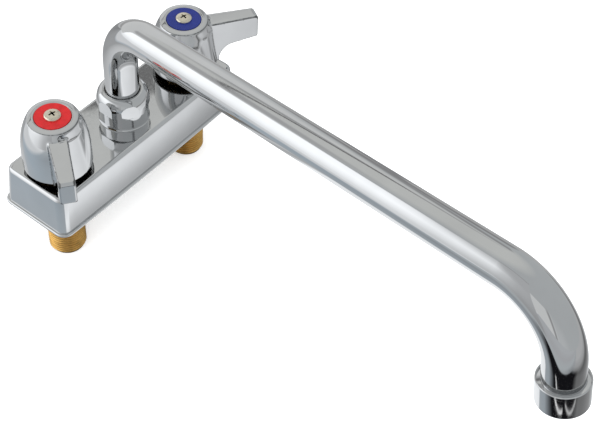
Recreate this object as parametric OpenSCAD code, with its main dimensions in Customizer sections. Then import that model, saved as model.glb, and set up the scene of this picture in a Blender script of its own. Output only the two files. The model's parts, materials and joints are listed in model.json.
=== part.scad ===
// Deck mounted bar faucet with 4 inch centres, two lever handles and a swing spout.
// The origin is the middle of the body's underside, on the deck. Z is up, the front is -Y,
// the hot side is -X and the cold side is +X. Lengths are in millimetres, angles in degrees.

/* [Body] */
// Distance between the two valve axes
valve_centres = 101.6; // [98:0.1:106]
// How far the body reaches past each valve axis at the foot of its walls
body_end = 20.4; // [19:0.1:26]
// Width of the body at the foot of its walls, at the two ends
body_width = 43; // [41:0.1:48]
// Height of the body's flat top above the deck
body_height = 25.5; // [25:0.1:30]
// How far each wall leans in between its foot and its top
wall_draft = 1; // [0.4:0.1:2]
// How far the long sides bow out at the middle
side_bow = 0.66; // [0.2:0.01:1.5]
// Radius of the upright corners at the top of the walls
corner_radius = 3.8; // [3:0.1:6]
// Radius of the edge round the flat top
top_edge = 2.3; // [1:0.1:2.8]
// How far the bead at the foot stands out from the walls
bead_reach = 2.1; // [1:0.1:3]
// Height of the bead at the foot
bead_height = 2.2; // [1.6:0.1:3]
// Thickness of the side walls
body_wall = 3.2; // [2:0.1:4]
// Thickness of the top plate over the open underside
top_plate = 4; // [3:0.1:5]
// Outer diameter of the bosses that hold the valves
chamber_boss = 26; // [23:0.1:29]
// Outer diameter of the boss under the spout
centre_boss = 24; // [21:0.1:28]
// Outer diameter of the water way between the bosses
gallery_diameter = 14; // [12:0.1:15]
// Bore of the water way
gallery_bore = 9; // [6:0.1:9.5]
// Height of the water way's axis above the deck
gallery_height = 13.5; // [12.5:0.1:14]
// Thickness of the web over the water way
gallery_web = 6; // [3:0.1:8]

/* [Inlet shanks] */
// Outer diameter of the threaded shanks
shank_diameter = 20.9; // [20:0.1:22]
// Length of the shanks below the deck
shank_length = 37.6; // [30:0.1:60]
// Bore of the shanks
shank_bore = 13; // [10:0.1:14.5]
// Chamfer at the lower end of the shanks
shank_chamfer = 0.8; // [0.3:0.1:1.5]
// Diameter of the shank's plain end inside the body
shank_spigot = 19.8; // [17:0.1:19.9]
// Length of the shank's plain end inside the body
spigot_depth = 6; // [4:0.1:6.5]

/* [Spout seat] */
// Diameter of the round hub that carries the spout
hub_diameter = 27.4; // [26.8:0.1:30]
// Height of the hub between the body and the nut
hub_height = 8.9; // [6:0.1:16]
// Diameter of the hub's thread under the nut
hub_thread = 24.4; // [23.8:0.1:24.6]
// Height of the hub's thread
hub_thread_height = 5.6; // [4:0.1:6]
// Diameter of the hub's plain end in the body
hub_spigot = 18; // [16:0.1:18.8]
// Depth of the hub's plain end in the body
hub_spigot_depth = 7; // [5:0.1:7.4]
// Height of the spout's foot above the body
spout_lift = 2.5; // [1:0.1:4]
// Water way through the hub and the spout's foot
spout_way = 12; // [8:0.1:13]
// Widest diameter of the spout nut
nut_diameter = 29.2; // [28.4:0.1:32]
// Distance across the flats of the spout nut
nut_flats = 26.4; // [26:0.1:28]
// Height of the spout nut
nut_height = 11.1; // [11:0.1:14]
// Direction that one flat of the nut faces, from +X
nut_turn = 49; // [0:1:60]
// Diameter of the opening in the top of the nut
nut_opening = 20.4; // [19.4:0.1:21]
// Height of the nut's domed crown
nut_crown_height = 3.5; // [2.5:0.1:4]
// How far the nut's crown rounds in from its widest place
nut_crown_round = 3.8; // [2:0.1:4]

/* [Spout] */
// Outer diameter of the spout tube
tube_diameter = 18.7; // [18:0.1:19.2]
// Wall of the spout tube
tube_wall = 1; // [0.8:0.1:1.4]
// Height above the deck at which the arm's axis meets the swing axis
arm_height = 90.05; // [84:0.05:140]
// Rise of the arm toward its outlet
arm_rise = 10.16; // [0:0.01:14]
// Distance from the swing axis to the point where the arm's axis meets the outlet's
arm_reach = 286.9; // [150:0.1:360]
// Radius of the bend over the hub, at the tube's axis
first_bend = 29.5; // [24:0.1:34]
// Radius of the bend over the outlet, at the tube's axis
last_bend = 31.8; // [26:0.1:34]
// How far the outlet leans outward from plumb
outlet_lean = 12.5; // [0:0.1:16]
// Direction of the arm at rest, from +X
arm_turn = -100; // [-180:1:180]
// Where the aerator housing starts, along the outlet's axis from the arm's axis
housing_start = 39.3; // [38:0.1:44]

/* [Aerator] */
// Outer diameter of the aerator housing
housing_diameter = 23.32; // [22.6:0.02:25]
// Length of the aerator housing
housing_length = 13.1; // [12.4:0.1:18]
// Depth of the ring recess round the tube in the housing's upper end
housing_recess = 2; // [0.5:0.1:3]
// Diameter of the ring recess
housing_recess_diameter = 21.6; // [20:0.1:21.9]
// How far the tube reaches into the housing below the recess
tube_seat = 4.7; // [3:0.1:5]
// Thickness of the lip that holds the aerator in
housing_lip = 1.2; // [0.8:0.1:2]
// Opening of the housing at the outlet
outlet_opening = 16.8; // [14:0.1:17.4]
// Thickness of the sealing washer
washer_thickness = 1.2; // [0.8:0.1:1.6]
// Thickness of the strainer
screen_thickness = 0.4; // [0.3:0.1:0.8]

/* [Handles] */
// Height of the handle's rim over the body
handle_lift = 4; // [3:0.1:6]
// Height of the handle from its rim to its cap
handle_height = 32; // [31:0.1:36]
// Diameter of the handle at its rim
handle_rim = 37.2; // [36.4:0.1:38]
// Diameter of the handle's cap under its rounded edge
cap_diameter = 27.4; // [26.8:0.1:29]
// Rounding of the cap's edge
cap_edge = 0.6; // [0.3:0.1:1.5]
// Rise of the cap from its edge to the index disc
cap_crown = 0.5; // [0.2:0.1:1]
// How late the bell shape draws in toward the cap
bell_curve = 3.4; // [2.4:0.05:4]
// Wall of the handle's skirt
skirt_wall = 2.7; // [2.2:0.1:3]
// Depth of the solid cap over the hollow skirt
cap_depth = 9; // [8:0.1:10]
// Reach of the lever from the handle's axis to its end face
lever_reach = 43.3; // [36:0.1:60]
// Width of the lever where it leaves the cap
lever_root_width = 10.6; // [9:0.1:12]
// Width of the lever at its end
lever_end_width = 8.8; // [7:0.1:10]
// Depth of the lever's top below the cap, where it leaves the cap
lever_drop = 4.35; // [3.6:0.05:6]
// Fall of the lever's top from the cap to its end
lever_fall = 1.45; // [0:0.05:3]
// Depth of the lever's end face
lever_end_depth = 14.8; // [10:0.1:16]
// Rounding of the lever's edges
lever_edge = 1.2; // [0.6:0.1:1.6]
// Radius of the curve from the lever's underside into the skirt
lever_fillet = 9; // [6:0.1:9.6]
// How far out from the rim that curve ends
lever_foot_gap = 0.8; // [0.4:0.1:2]
// Height over the rim at which that curve ends
lever_foot_rise = 1.5; // [1:0.1:3]
// Diameter of the boss in the handle that takes the stem
stem_boss = 14; // [12:0.1:15]
// Depth of the thumb scoop's ledge below the cap
ledge_depth = 6.3; // [5:0.1:7]
// Radius of the thumb scoop over its ledge
ledge_radius = 15; // [14.4:0.1:15.2]
// Width of the thumb scoop's ledge
ledge_width = 0.4; // [0.2:0.1:0.6]
// How late the thumb scoop spreads toward the rim
scoop_curve = 1.4; // [1:0.1:2]
// Span of the thumb scoop at half its height, from the lever's middle
scoop_span = 66; // [50:0.5:76]
// Lean of the thumb scoop's far edge from plumb
scoop_lean = 15; // [0:1:24]
// Direction of the hot lever at rest, from +X
hot_lever_turn = -126.2; // [-180:0.1:-90]
// Direction of the cold lever at rest, from +X
cold_lever_turn = -30.3; // [-90:0.1:0]
// Diameter of the index disc
index_diameter = 19.2; // [14:0.1:22]
// Thickness of the index disc
index_thickness = 1.2; // [0.8:0.1:1.6]
// Diameter of the handle screw's head
screw_head = 9; // [7:0.1:10]
// Height of the handle screw's head
screw_head_height = 2; // [1.4:0.1:2.6]
// Diameter of the handle screw's shaft
screw_shaft = 4; // [3:0.1:4.6]
// Depth to which the handle screw goes into the stem
screw_grip = 10; // [6:0.1:11]

/* [Valves] */
// Bore of the valve chambers
chamber_bore = 18.8; // [18.4:0.1:19.4]
// Thickness of the seat under each valve
seat_floor = 2; // [1.5:0.1:3]
// Water hole in the seat
seat_hole = 8; // [5:0.1:9]
// Outer diameter of the rubber seat seal
seal_diameter = 11; // [9.5:0.1:12.4]
// Thickness of the rubber seat seal
seal_thickness = 2.2; // [1.5:0.1:2.6]
// Diameter of the ceramic discs
disc_diameter = 12; // [10:0.1:12.8]
// Thickness of each ceramic disc
disc_thickness = 3; // [2:0.1:3.2]
// Inner diameter of the cartridge's barrel
barrel_bore = 13.2; // [13:0.1:15]
// Height of the stem's foot that turns the upper disc
foot_height = 3.25; // [2:0.05:3.3]
// Diameter of the valve stem
stem_diameter = 9; // [8:0.1:9.6]
// Height of the cartridge's neck above the body
neck_rise = 10.5; // [8:0.1:11]
// Diameter of the cartridge's neck
neck_diameter = 12.8; // [12:0.1:14]
// Thickness of the web between the cartridge's barrel and its neck
barrel_web = 2; // [1.2:0.1:2.2]
// Distance across the flats of the bonnet nut
bonnet_flats = 23; // [21:0.1:24]
// Height of the bonnet nut's head
bonnet_height = 5.5; // [3:0.1:6]
// Diameter over the points of the stem's broach
broach_diameter = 7.2; // [6.4:0.1:7.8]
// Length of the stem's broach
broach_length = 13; // [10:0.1:13.4]
// Thickness of the O-rings
ring_thickness = 1.1; // [0.9:0.05:1.3]

/* [Fits] */
// Radial play of pieces that screw or push together
screwed_play = 0.05; // [0.02:0.01:0.1]
// Radial play of pieces that turn in each other
running_play = 0.05; // [0.03:0.01:0.1]
// Radial play of the spout's foot in the hub
spout_play = 0.1; // [0.05:0.01:0.1]
// End play between pieces that turn on each other
end_play = 0.2; // [0.1:0.01:0.3]

/* [Hidden] */
$fn = 72;

// The two sides, as the sign of their place along X
hot = -1;
cold = 1;

// A thin slice that a hull grows from, and the overlap that lets a cut come clean through
slice = 0.01;
through = 1;

// Corners of a hexagon lie this much further out than its flats
hexagon = 1 / cos(30);

// Body
foot_half_length = valve_centres / 2 + body_end;
foot_half_width = body_width / 2;
wall_half_length = foot_half_length - wall_draft;
wall_half_width = foot_half_width - wall_draft;
pocket_height = body_height - top_plate;
chamber_floor = spigot_depth + seat_floor;
hub_foot = body_height - hub_spigot_depth;

// Heights up the spout's seat
nut_foot = body_height + hub_height;
hub_top = nut_foot + hub_thread_height;
ferrule_foot = body_height + spout_lift;
flange_foot = hub_top + end_play;
flange_thickness = 2.5;
flange_gap = 0.4;
tube_foot = flange_foot + flange_thickness;
bearing_thickness = 1;
bearing_play = 0.25;
bearing_foot = tube_foot + running_play;
nut_shoulder = bearing_foot + bearing_thickness + running_play;
ferrule_spigot = 7.3;
first_ring_rise = 3.2;
ring_pitch = 4.6;

// A ring's groove: its half height as a share of the ring, and its extra depth
groove_share = 0.6;
groove_play = 0.02;

// Spout
tube_radius = tube_diameter / 2;
tube_inner = tube_radius - tube_wall;
ferrule_bore = tube_radius + spout_play;
arm_end_height = arm_height + arm_reach * tan(arm_rise);
first_turn = 90 - arm_rise;
last_turn = 90 + arm_rise - outlet_lean;
first_tangent = first_bend * tan(first_turn / 2);
last_tangent = last_bend * tan(last_turn / 2);
tube_sides = 32;
housing_seat = housing_start + housing_recess;
tube_end = housing_seat + tube_seat;
housing_end = housing_start + housing_length;
lip_start = housing_end - housing_lip;
housing_bore = tube_radius + screwed_play;
screen_start = tube_end + washer_thickness;
insert_start = screen_start + screen_thickness;

// Handles
rim_height = body_height + handle_lift;
cap_height = rim_height + handle_height;
rim_radius = handle_rim / 2;
cap_radius = cap_diameter / 2;
shoulder_height = cap_height - cap_crown - cap_edge;
crown_radius = index_diameter / 2 + 1.4;
index_foot = cap_height - index_thickness;
ledge_height = cap_height - ledge_depth;
lever_top = cap_height - lever_drop;
lever_end_top = lever_top - lever_fall;
lever_end_foot = lever_end_top - lever_end_depth;
skirt_inner = rim_radius - skirt_wall;
hollow_top = cap_height - cap_depth;
hollow_radius = cap_radius - skirt_wall / 2;
hollow_foot_height = 3.5;
hollow_roof_height = 2.5;
fillet_reach = rim_radius + lever_foot_gap + lever_fillet;
fillet_height = rim_height + lever_foot_rise;

// Heights up each valve
foot_play = 0.3;
boss_gap = 1;
disc_foot = chamber_floor + seal_thickness;
turning_foot = disc_foot + disc_thickness + running_play;
stem_foot = turning_foot + disc_thickness;
barrel_roof = stem_foot + foot_height + foot_play;
barrel_top = barrel_roof + barrel_web;
neck_top = body_height + neck_rise;
broach_foot = neck_top + boss_gap;
stem_top = broach_foot + broach_length;
boss_foot = broach_foot + boss_gap;
stem_ring_rise = 3;
stem_ring_height = body_height + stem_ring_rise;
disc_port = disc_diameter / 4;

// The body's plan outline: round corners, with long sides that bow out a little
function bowed(x, half_length, half_width) = half_width + side_bow * (1 - pow(x / half_length, 2));

function corner(sx, sy, half_length, half_width, radius, start) = [
    for (step = [0 : 4])
        let (turn = start + step * 22.5)
        [sx * (half_length - radius) + radius * cos(turn), sy * (half_width - radius) + radius * sin(turn)]
];

function outline(half_length, half_width, radius) = concat(
    corner(1, 1, half_length, half_width, radius, 0),
    [for (part = [0.8 : -0.4 : -0.8])
        [part * half_length, bowed(part * half_length, half_length, half_width)]],
    corner(-1, 1, half_length, half_width, radius, 90),
    corner(-1, -1, half_length, half_width, radius, 180),
    [for (part = [-0.8 : 0.4 : 0.8])
        [part * half_length, -bowed(part * half_length, half_length, half_width)]],
    corner(1, -1, half_length, half_width, radius, 270)
);

module outline_slice(inset, height) {
    translate([0, 0, height])
        linear_extrude(slice)
            polygon(outline(
                foot_half_length - inset,
                foot_half_width - inset,
                corner_radius + wall_draft - inset
            ));
}

module body_skin() {
    hull() {
        outline_slice(0, 0);
        for (turn = [0 : 22.5 : 90])
            outline_slice(
                wall_draft + top_edge * (1 - sin(turn)),
                body_height - top_edge * (1 - cos(turn)) - slice
            );
    }
}

module foot_bead() {
    bead_round = bead_height / 3;
    hull() {
        outline_slice(bead_round - bead_reach, 0);
        outline_slice(-bead_reach, bead_round);
        outline_slice(-bead_reach, bead_height - bead_round);
        outline_slice(bead_round - bead_reach, bead_height - slice);
    }
}

// A ring or tube standing on its foot
module ring(outer, inner, height) {
    difference() {
        cylinder(r = outer, h = height);
        translate([0, 0, -through])
            cylinder(r = inner, h = height + 2 * through);
    }
}

module o_ring(inner) {
    rotate_extrude()
        translate([inner + ring_thickness / 2, 0])
            circle(d = ring_thickness, $fn = 24);
}

module at_valve(side) {
    translate([side * valve_centres / 2, 0, 0])
        children();
}

// A cylinder along the water way, from one valve to the other
module along_gallery(diameter) {
    translate([-valve_centres / 2, 0, gallery_height])
        rotate([0, 90, 0])
            cylinder(d = diameter, h = valve_centres);
}

// The open underside, less the bosses and the water way that stand in it
module underside_pocket() {
    pocket_radius = corner_radius - 1;
    difference() {
        translate([0, 0, -through])
            linear_extrude(pocket_height + through)
                polygon(outline(
                    wall_half_length - body_wall,
                    wall_half_width - body_wall,
                    pocket_radius
                ));
        for (side = [hot, cold])
            at_valve(side)
                translate([0, 0, -2 * through])
                    cylinder(d = chamber_boss, h = body_height);
        translate([0, 0, -2 * through])
            cylinder(d = centre_boss, h = body_height);
        along_gallery(gallery_diameter);
        translate([-valve_centres / 2, -gallery_web / 2, gallery_height])
            cube([valve_centres, gallery_web, body_height]);
    }
}

module body() {
    color("gainsboro")
        difference() {
            union() {
                body_skin();
                foot_bead();
            }
            underside_pocket();
            along_gallery(gallery_bore);
            for (side = [hot, cold])
                at_valve(side) {
                    translate([0, 0, chamber_floor])
                        cylinder(d = chamber_bore, h = body_height);
                    cylinder(d = seat_hole, h = body_height);
                    translate([0, 0, -through])
                        cylinder(r = shank_spigot / 2 + screwed_play, h = spigot_depth + through);
                }
            translate([0, 0, gallery_height - gallery_bore / 2])
                cylinder(d = spout_way, h = body_height);
            translate([0, 0, hub_foot])
                cylinder(r = hub_spigot / 2 + screwed_play, h = body_height);
        }
}

module shank(side) {
    outer = shank_diameter / 2;
    color("goldenrod")
        at_valve(side)
            rotate_extrude()
                polygon([
                    [shank_bore / 2, -shank_length],
                    [outer - shank_chamfer, -shank_length],
                    [outer, shank_chamfer - shank_length],
                    [outer, 0],
                    [shank_spigot / 2, 0],
                    [shank_spigot / 2, spigot_depth],
                    [shank_bore / 2, spigot_depth]
                ]);
}

module spout_hub() {
    color("gainsboro")
        rotate_extrude()
            polygon([
                [spout_way / 2, hub_foot],
                [hub_spigot / 2, hub_foot],
                [hub_spigot / 2, body_height],
                [hub_diameter / 2, body_height],
                [hub_diameter / 2, nut_foot],
                [hub_thread / 2, nut_foot],
                [hub_thread / 2, hub_top],
                [ferrule_bore, hub_top],
                [ferrule_bore, ferrule_foot - end_play],
                [spout_way / 2, ferrule_foot - end_play]
            ]);
}

// The nut's ring is a dome of revolution that six flats cut
module spout_nut() {
    radius = nut_diameter / 2;
    opening = nut_opening / 2;
    thread = hub_thread / 2 + screwed_play;
    top = nut_foot + nut_height;
    widest = top - nut_crown_height;
    crown = radius - nut_crown_round;
    foot_inset = 1.3;
    foot_bevel = 0.6;
    foot_bevel_height = 1;
    opening_edge = 0.5;
    color("silver")
        rotate([0, 0, nut_turn])
            intersection() {
                rotate_extrude()
                    polygon(concat(
                        [
                            [thread, nut_foot],
                            [radius - foot_inset, nut_foot],
                            [radius - foot_inset + foot_bevel, nut_foot + foot_bevel_height]
                        ],
                        [for (turn = [0 : 15 : 90])
                            [crown + (radius - crown) * cos(turn), widest + (top - widest) * sin(turn)]],
                        [[opening, top - opening_edge], [opening, nut_shoulder], [thread, nut_shoulder]]
                    ));
                rotate([0, 0, 30])
                    cylinder(r = nut_flats / 2 * hexagon, h = top + through, $fn = 6);
            }
}

module spout_bearing() {
    color("white")
        translate([0, 0, bearing_foot])
            ring(hub_thread / 2 - screwed_play, tube_radius + bearing_play, bearing_thickness);
}

// The spout's own frame: the arm runs along +X from the swing axis
module in_spout() {
    rotate([0, 0, arm_turn])
        children();
}

// The outlet's own frame: its axis runs down +Z from where the arm's axis meets it
module at_outlet() {
    in_spout()
        translate([arm_reach, 0, arm_end_height])
            rotate([0, 180 - outlet_lean, 0])
                children();
}

// Stations along the spout's axis, each as reach, height and heading in the arm's upright plane
function bend_stations(centre, radius, from, to, steps) = [
    for (step = [0 : steps])
        let (heading = from + (to - from) * step / steps)
        [centre.x - radius * sin(heading), centre.y + radius * cos(heading), heading]
];

outlet_heading = outlet_lean - 90;
arm_stop = arm_reach - last_tangent * cos(arm_rise);
first_centre = [first_bend, arm_height - first_tangent];
last_centre = [
    arm_stop + last_bend * sin(arm_rise),
    arm_end_height - last_tangent * sin(arm_rise) - last_bend * cos(arm_rise)
];
spout_stations = concat(
    [[0, tube_foot, 90]],
    bend_stations(first_centre, first_bend, 90, arm_rise, 8),
    bend_stations(last_centre, last_bend, arm_rise, outlet_heading, 9),
    [[
        arm_reach + tube_end * cos(outlet_heading),
        arm_end_height + tube_end * sin(outlet_heading),
        outlet_heading
    ]]
);

// A ring of points round one station
function station_ring(station, radius) = [
    for (side = [0 : tube_sides - 1])
        let (turn = side * 360 / tube_sides, rise = radius * cos(turn))
        [
            station.x - rise * sin(station.z),
            radius * sin(turn),
            station.y + rise * cos(station.z)
        ]
];

// The bent tube in one piece: an outer and an inner skin, joined by a flat ring at each end
module spout_tube() {
    last = len(spout_stations) - 1;
    inner_start = len(spout_stations) * tube_sides;
    points = concat(
        [for (station = spout_stations) each station_ring(station, tube_radius)],
        [for (station = spout_stations) each station_ring(station, tube_inner / cos(180 / tube_sides))]
    );
    function at(start, station, side) = start + station * tube_sides + side % tube_sides;
    outer_skin = [
        for (station = [0 : last - 1], side = [0 : tube_sides - 1])
            each [
                [at(0, station, side), at(0, station, side + 1), at(0, station + 1, side)],
                [at(0, station + 1, side), at(0, station, side + 1), at(0, station + 1, side + 1)]
            ]
    ];
    inner_skin = [
        for (station = [0 : last - 1], side = [0 : tube_sides - 1])
            let (i = inner_start)
            each [
                [at(i, station, side), at(i, station + 1, side), at(i, station, side + 1)],
                [at(i, station + 1, side), at(i, station + 1, side + 1), at(i, station, side + 1)]
            ]
    ];
    ends = [
        for (side = [0 : tube_sides - 1])
            let (i = inner_start)
            each [
                [at(0, 0, side), at(i, 0, side), at(i, 0, side + 1)],
                [at(0, 0, side), at(i, 0, side + 1), at(0, 0, side + 1)],
                [at(0, last, side), at(i, last, side + 1), at(i, last, side)],
                [at(0, last, side), at(0, last, side + 1), at(i, last, side + 1)]
            ]
    ];
    color("gainsboro")
        in_spout()
            polyhedron(points, concat(outer_skin, inner_skin, ends));
}

// Heights of the two rings on the spout's foot
function spout_ring_height(step) = ferrule_foot + first_ring_rise + step * ring_pitch;

module spout_ferrule() {
    color("darkgoldenrod")
        difference() {
            rotate_extrude()
                polygon([
                    [spout_way / 2, ferrule_foot],
                    [tube_radius, ferrule_foot],
                    [tube_radius, flange_foot],
                    [hub_thread / 2 - flange_gap, flange_foot],
                    [hub_thread / 2 - flange_gap, tube_foot],
                    [tube_inner - screwed_play, tube_foot],
                    [tube_inner - screwed_play, tube_foot + ferrule_spigot],
                    [spout_way / 2, tube_foot + ferrule_spigot]
                ]);
            for (step = [0, 1])
                translate([0, 0, spout_ring_height(step) - ring_thickness * groove_share])
                    ring(
                        tube_radius + through,
                        tube_radius - ring_thickness - groove_play,
                        2 * ring_thickness * groove_share
                    );
        }
}

module spout_seal() {
    color("dimgray")
        for (step = [0, 1])
            translate([0, 0, spout_ring_height(step)])
                o_ring(tube_radius - ring_thickness);
}

module aerator_housing() {
    outer = housing_diameter / 2;
    rounding = 1.2;
    recess_edge = 0.3;
    bevel_width = 0.6;
    bevel_height = 0.9;
    color("gainsboro")
        at_outlet()
            rotate_extrude()
                polygon(concat(
                    [
                        [housing_bore, housing_seat],
                        [housing_recess_diameter / 2, housing_seat],
                        [housing_recess_diameter / 2, housing_start + recess_edge],
                        [outer - bevel_width, housing_start],
                        [outer, housing_start + bevel_height]
                    ],
                    [for (turn = [0 : 30 : 90])
                        [
                            outer - rounding * (1 - cos(turn)),
                            housing_end - rounding * (1 - sin(turn))
                        ]],
                    [
                        [outlet_opening / 2, housing_end],
                        [outlet_opening / 2, lip_start],
                        [housing_bore, lip_start]
                    ]
                ));
}

module aerator_insert() {
    radius = tube_radius - screwed_play;
    slots = 12;
    slot_start = radius * 0.35;
    slot_length = radius * 0.45;
    slot_width = 1;
    color("whitesmoke")
        at_outlet()
            translate([0, 0, insert_start])
                difference() {
                    cylinder(r = radius, h = lip_start - insert_start);
                    for (step = [0 : slots - 1])
                        rotate([0, 0, step * 360 / slots])
                            translate([slot_start, -slot_width / 2, -through])
                                cube([slot_length, slot_width, lip_start]);
                }
}

// A strainer plate with square holes
module aerator_screen() {
    radius = tube_radius - screwed_play;
    pitch = radius / 4;
    hole = pitch * 0.6;
    color("silver")
        at_outlet()
            translate([0, 0, screen_start])
                difference() {
                    cylinder(r = radius, h = screen_thickness);
                    for (column = [-2 : 2], row = [-2 : 2])
                        translate([column * pitch, row * pitch, 0])
                            cube([hole, hole, 4 * screen_thickness], center = true);
                }
}

module aerator_washer() {
    cover = 1.2;
    color("dimgray")
        at_outlet()
            translate([0, 0, tube_end])
                ring(tube_radius - screwed_play, tube_inner - cover, washer_thickness);
}

// Radius of the handle's bell at a share of its height, from the rim up
function bell_radius(share) = rim_radius - (rim_radius - cap_radius) * pow(share, bell_curve);

// Radius of the thumb scoop at a share of its height, from the ledge down
scoop_top = ledge_radius + ledge_width;
function scoop_radius(share) = scoop_top + (rim_radius - scoop_top) * pow(share, scoop_curve);

module bell() {
    rotate_extrude()
        polygon(concat(
            [[0, rim_height]],
            [for (share = [0, 0.25, each [0.46 : 0.09 : 1]])
                [bell_radius(share), rim_height + share * (shoulder_height - rim_height)]],
            [for (turn = [30 : 30 : 90])
                [cap_radius - cap_edge * (1 - cos(turn)), shoulder_height + cap_edge * sin(turn)]],
            [[crown_radius, cap_height], [0, cap_height]]
        ));
}

// The cut of the thumb scoop beside the lever: it leaves the cap a steep face over a ledge,
// spreads from there to the rim, and ends in a leaning plane
module thumb_scoop() {
    middle = (ledge_height + rim_height) / 2;
    scoop_start = ledge_height - ledge_width / 2;
    size = 4 * rim_radius;
    intersection() {
        rotate_extrude(angle = 110)
            polygon(concat(
                [
                    [2 * rim_radius, shoulder_height],
                    [cap_radius, shoulder_height],
                    [ledge_radius, ledge_height]
                ],
                [for (share = [0 : 0.125 : 1])
                    [scoop_radius(share), scoop_start - share * (scoop_start - rim_height)]],
                [[rim_radius, rim_height - through], [2 * rim_radius, rim_height - through]]
            ));
        rotate([0, 0, scoop_span])
            translate([0, 0, middle])
                rotate([-scoop_lean, 0, 0])
                    translate([0, -size, -size / 2])
                        cube(size);
    }
}

// One cross slice of the lever: two round upper edges over a flat foot
module lever_slice(reach, half_width, top) {
    for (across = [-1, 1])
        translate([reach, across * (half_width - lever_edge), top - lever_edge])
            rotate([0, 90, 0])
                cylinder(r = lever_edge, h = slice, $fn = 32);
    translate([reach, -half_width, rim_height])
        cube([slice, 2 * half_width, 1]);
}

// The lever: a bar that narrows and falls to its end, with a curved underside
module lever() {
    bevel = 0.6;
    root = lever_root_width / 2;
    end = lever_end_width / 2;
    intersection() {
        hull() {
            lever_slice(0, root, lever_top);
            lever_slice(ledge_radius, root, lever_top);
            lever_slice(lever_reach - bevel, end, lever_end_top);
            lever_slice(lever_reach - slice, end - bevel, lever_end_top - bevel);
        }
        rotate([90, 0, 0])
            linear_extrude(2 * lever_root_width, center = true)
                polygon(concat(
                    [[hollow_radius, rim_height], [fillet_reach - lever_fillet, rim_height]],
                    [for (turn = [180 : -15 : 90])
                        [
                            fillet_reach + lever_fillet * cos(turn),
                            fillet_height + lever_fillet * sin(turn)
                        ]],
                    [
                        [lever_reach, lever_end_foot],
                        [lever_reach, cap_height],
                        [hollow_radius, cap_height]
                    ]
                ));
    }
}

// The handle's hollow, with the boss that takes the stem left standing in it
module handle_hollow() {
    difference() {
        rotate_extrude()
            polygon([
                [0, rim_height - through],
                [skirt_inner, rim_height - through],
                [skirt_inner, rim_height + hollow_foot_height],
                [hollow_radius, hollow_top - hollow_roof_height],
                [hollow_radius, hollow_top],
                [0, hollow_top]
            ]);
        translate([0, 0, boss_foot])
            cylinder(d = stem_boss, h = cap_height);
    }
}

// A handle with its lever along +X and its scoop on the side toward +Y
module handle_shape() {
    difference() {
        union() {
            difference() {
                bell();
                thumb_scoop();
            }
            lever();
        }
        handle_hollow();
        translate([0, 0, index_foot])
            cylinder(r = index_diameter / 2 + screwed_play, h = cap_height);
        cylinder(r = screw_shaft / 2 + end_play, h = cap_height);
        rotate([0, 0, 15])
            cylinder(r = broach_diameter / 2 + 2 * screwed_play, h = stem_top + end_play, $fn = 12);
    }
}

// The two handles are a mirrored pair, each turned to its own lever's direction
module handle(side) {
    color("gainsboro")
        at_valve(side)
            rotate([0, 0, side == hot ? hot_lever_turn : cold_lever_turn])
                mirror([0, side == hot ? 0 : 1, 0])
                    handle_shape();
}

module index(side) {
    color(side == hot ? "firebrick" : "navy")
        at_valve(side)
            translate([0, 0, index_foot])
                ring(index_diameter / 2, screw_shaft / 2 + end_play, index_thickness);
}

module handle_screw(side) {
    head = screw_head / 2;
    edge = 0.6;
    dome = screw_head_height - edge;
    cross_length = screw_head * 0.45;
    cross_width = 0.9;
    color("tan")
        at_valve(side)
            difference() {
                rotate_extrude()
                    polygon(concat(
                        [
                            [0, stem_top - screw_grip],
                            [screw_shaft / 2, stem_top - screw_grip],
                            [screw_shaft / 2, cap_height],
                            [head, cap_height]
                        ],
                        [for (turn = [0 : 15 : 90])
                            [head * cos(turn), cap_height + edge + dome * sin(turn)]]
                    ));
                for (turn = [0, 90])
                    rotate([0, 0, turn])
                        translate([0, 0, cap_height + screw_head_height])
                            cube([cross_length, cross_width, screw_head_height], center = true);
            }
}

module valve_body(side) {
    barrel = chamber_bore / 2 - 4 * screwed_play;
    window_height = disc_thickness;
    window_width = disc_thickness * 1.5;
    color("darkgoldenrod")
        at_valve(side)
            difference() {
                union() {
                    translate([0, 0, chamber_floor])
                        cylinder(r = barrel, h = barrel_top - chamber_floor);
                    translate([0, 0, chamber_floor])
                        cylinder(d = neck_diameter, h = neck_top - chamber_floor);
                }
                translate([0, 0, chamber_floor - through])
                    cylinder(d = barrel_bore, h = barrel_roof - chamber_floor + through);
                cylinder(r = stem_diameter / 2 + running_play, h = neck_top + through);
                translate([0, 0, turning_foot + window_height / 2])
                    cube([chamber_bore + through, window_width, window_height], center = true);
            }
}

module bonnet_nut(side) {
    inner = neck_diameter / 2 + 4 * screwed_play;
    color("darkgoldenrod")
        at_valve(side) {
            translate([0, 0, body_height])
                difference() {
                    cylinder(r = bonnet_flats / 2 * hexagon, h = bonnet_height, $fn = 6);
                    translate([0, 0, -through])
                        cylinder(r = inner, h = bonnet_height + 2 * through);
                }
            translate([0, 0, barrel_top])
                ring(chamber_bore / 2 - screwed_play, inner, body_height - barrel_top);
        }
}

module stem(side) {
    radius = stem_diameter / 2;
    groove = radius - ring_thickness - groove_play;
    half_groove = ring_thickness * groove_share;
    foot = barrel_bore / 2 - foot_play;
    tap_depth = 0.5;
    color("goldenrod")
        at_valve(side)
            difference() {
                union() {
                    rotate_extrude()
                        polygon([
                            [0, stem_foot],
                            [foot, stem_foot],
                            [foot, stem_foot + foot_height],
                            [radius, stem_foot + foot_height],
                            [radius, stem_ring_height - half_groove],
                            [groove, stem_ring_height - half_groove],
                            [groove, stem_ring_height + half_groove],
                            [radius, stem_ring_height + half_groove],
                            [radius, broach_foot],
                            [0, broach_foot]
                        ]);
                    rotate([0, 0, 15 + (side == hot ? hot_lever_turn : cold_lever_turn)])
                        translate([0, 0, broach_foot - through])
                            cylinder(d = broach_diameter, h = broach_length + through, $fn = 12);
                }
                translate([0, 0, stem_top - screw_grip - tap_depth])
                    cylinder(r = screw_shaft / 2 + screwed_play, h = cap_height);
            }
}

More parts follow.
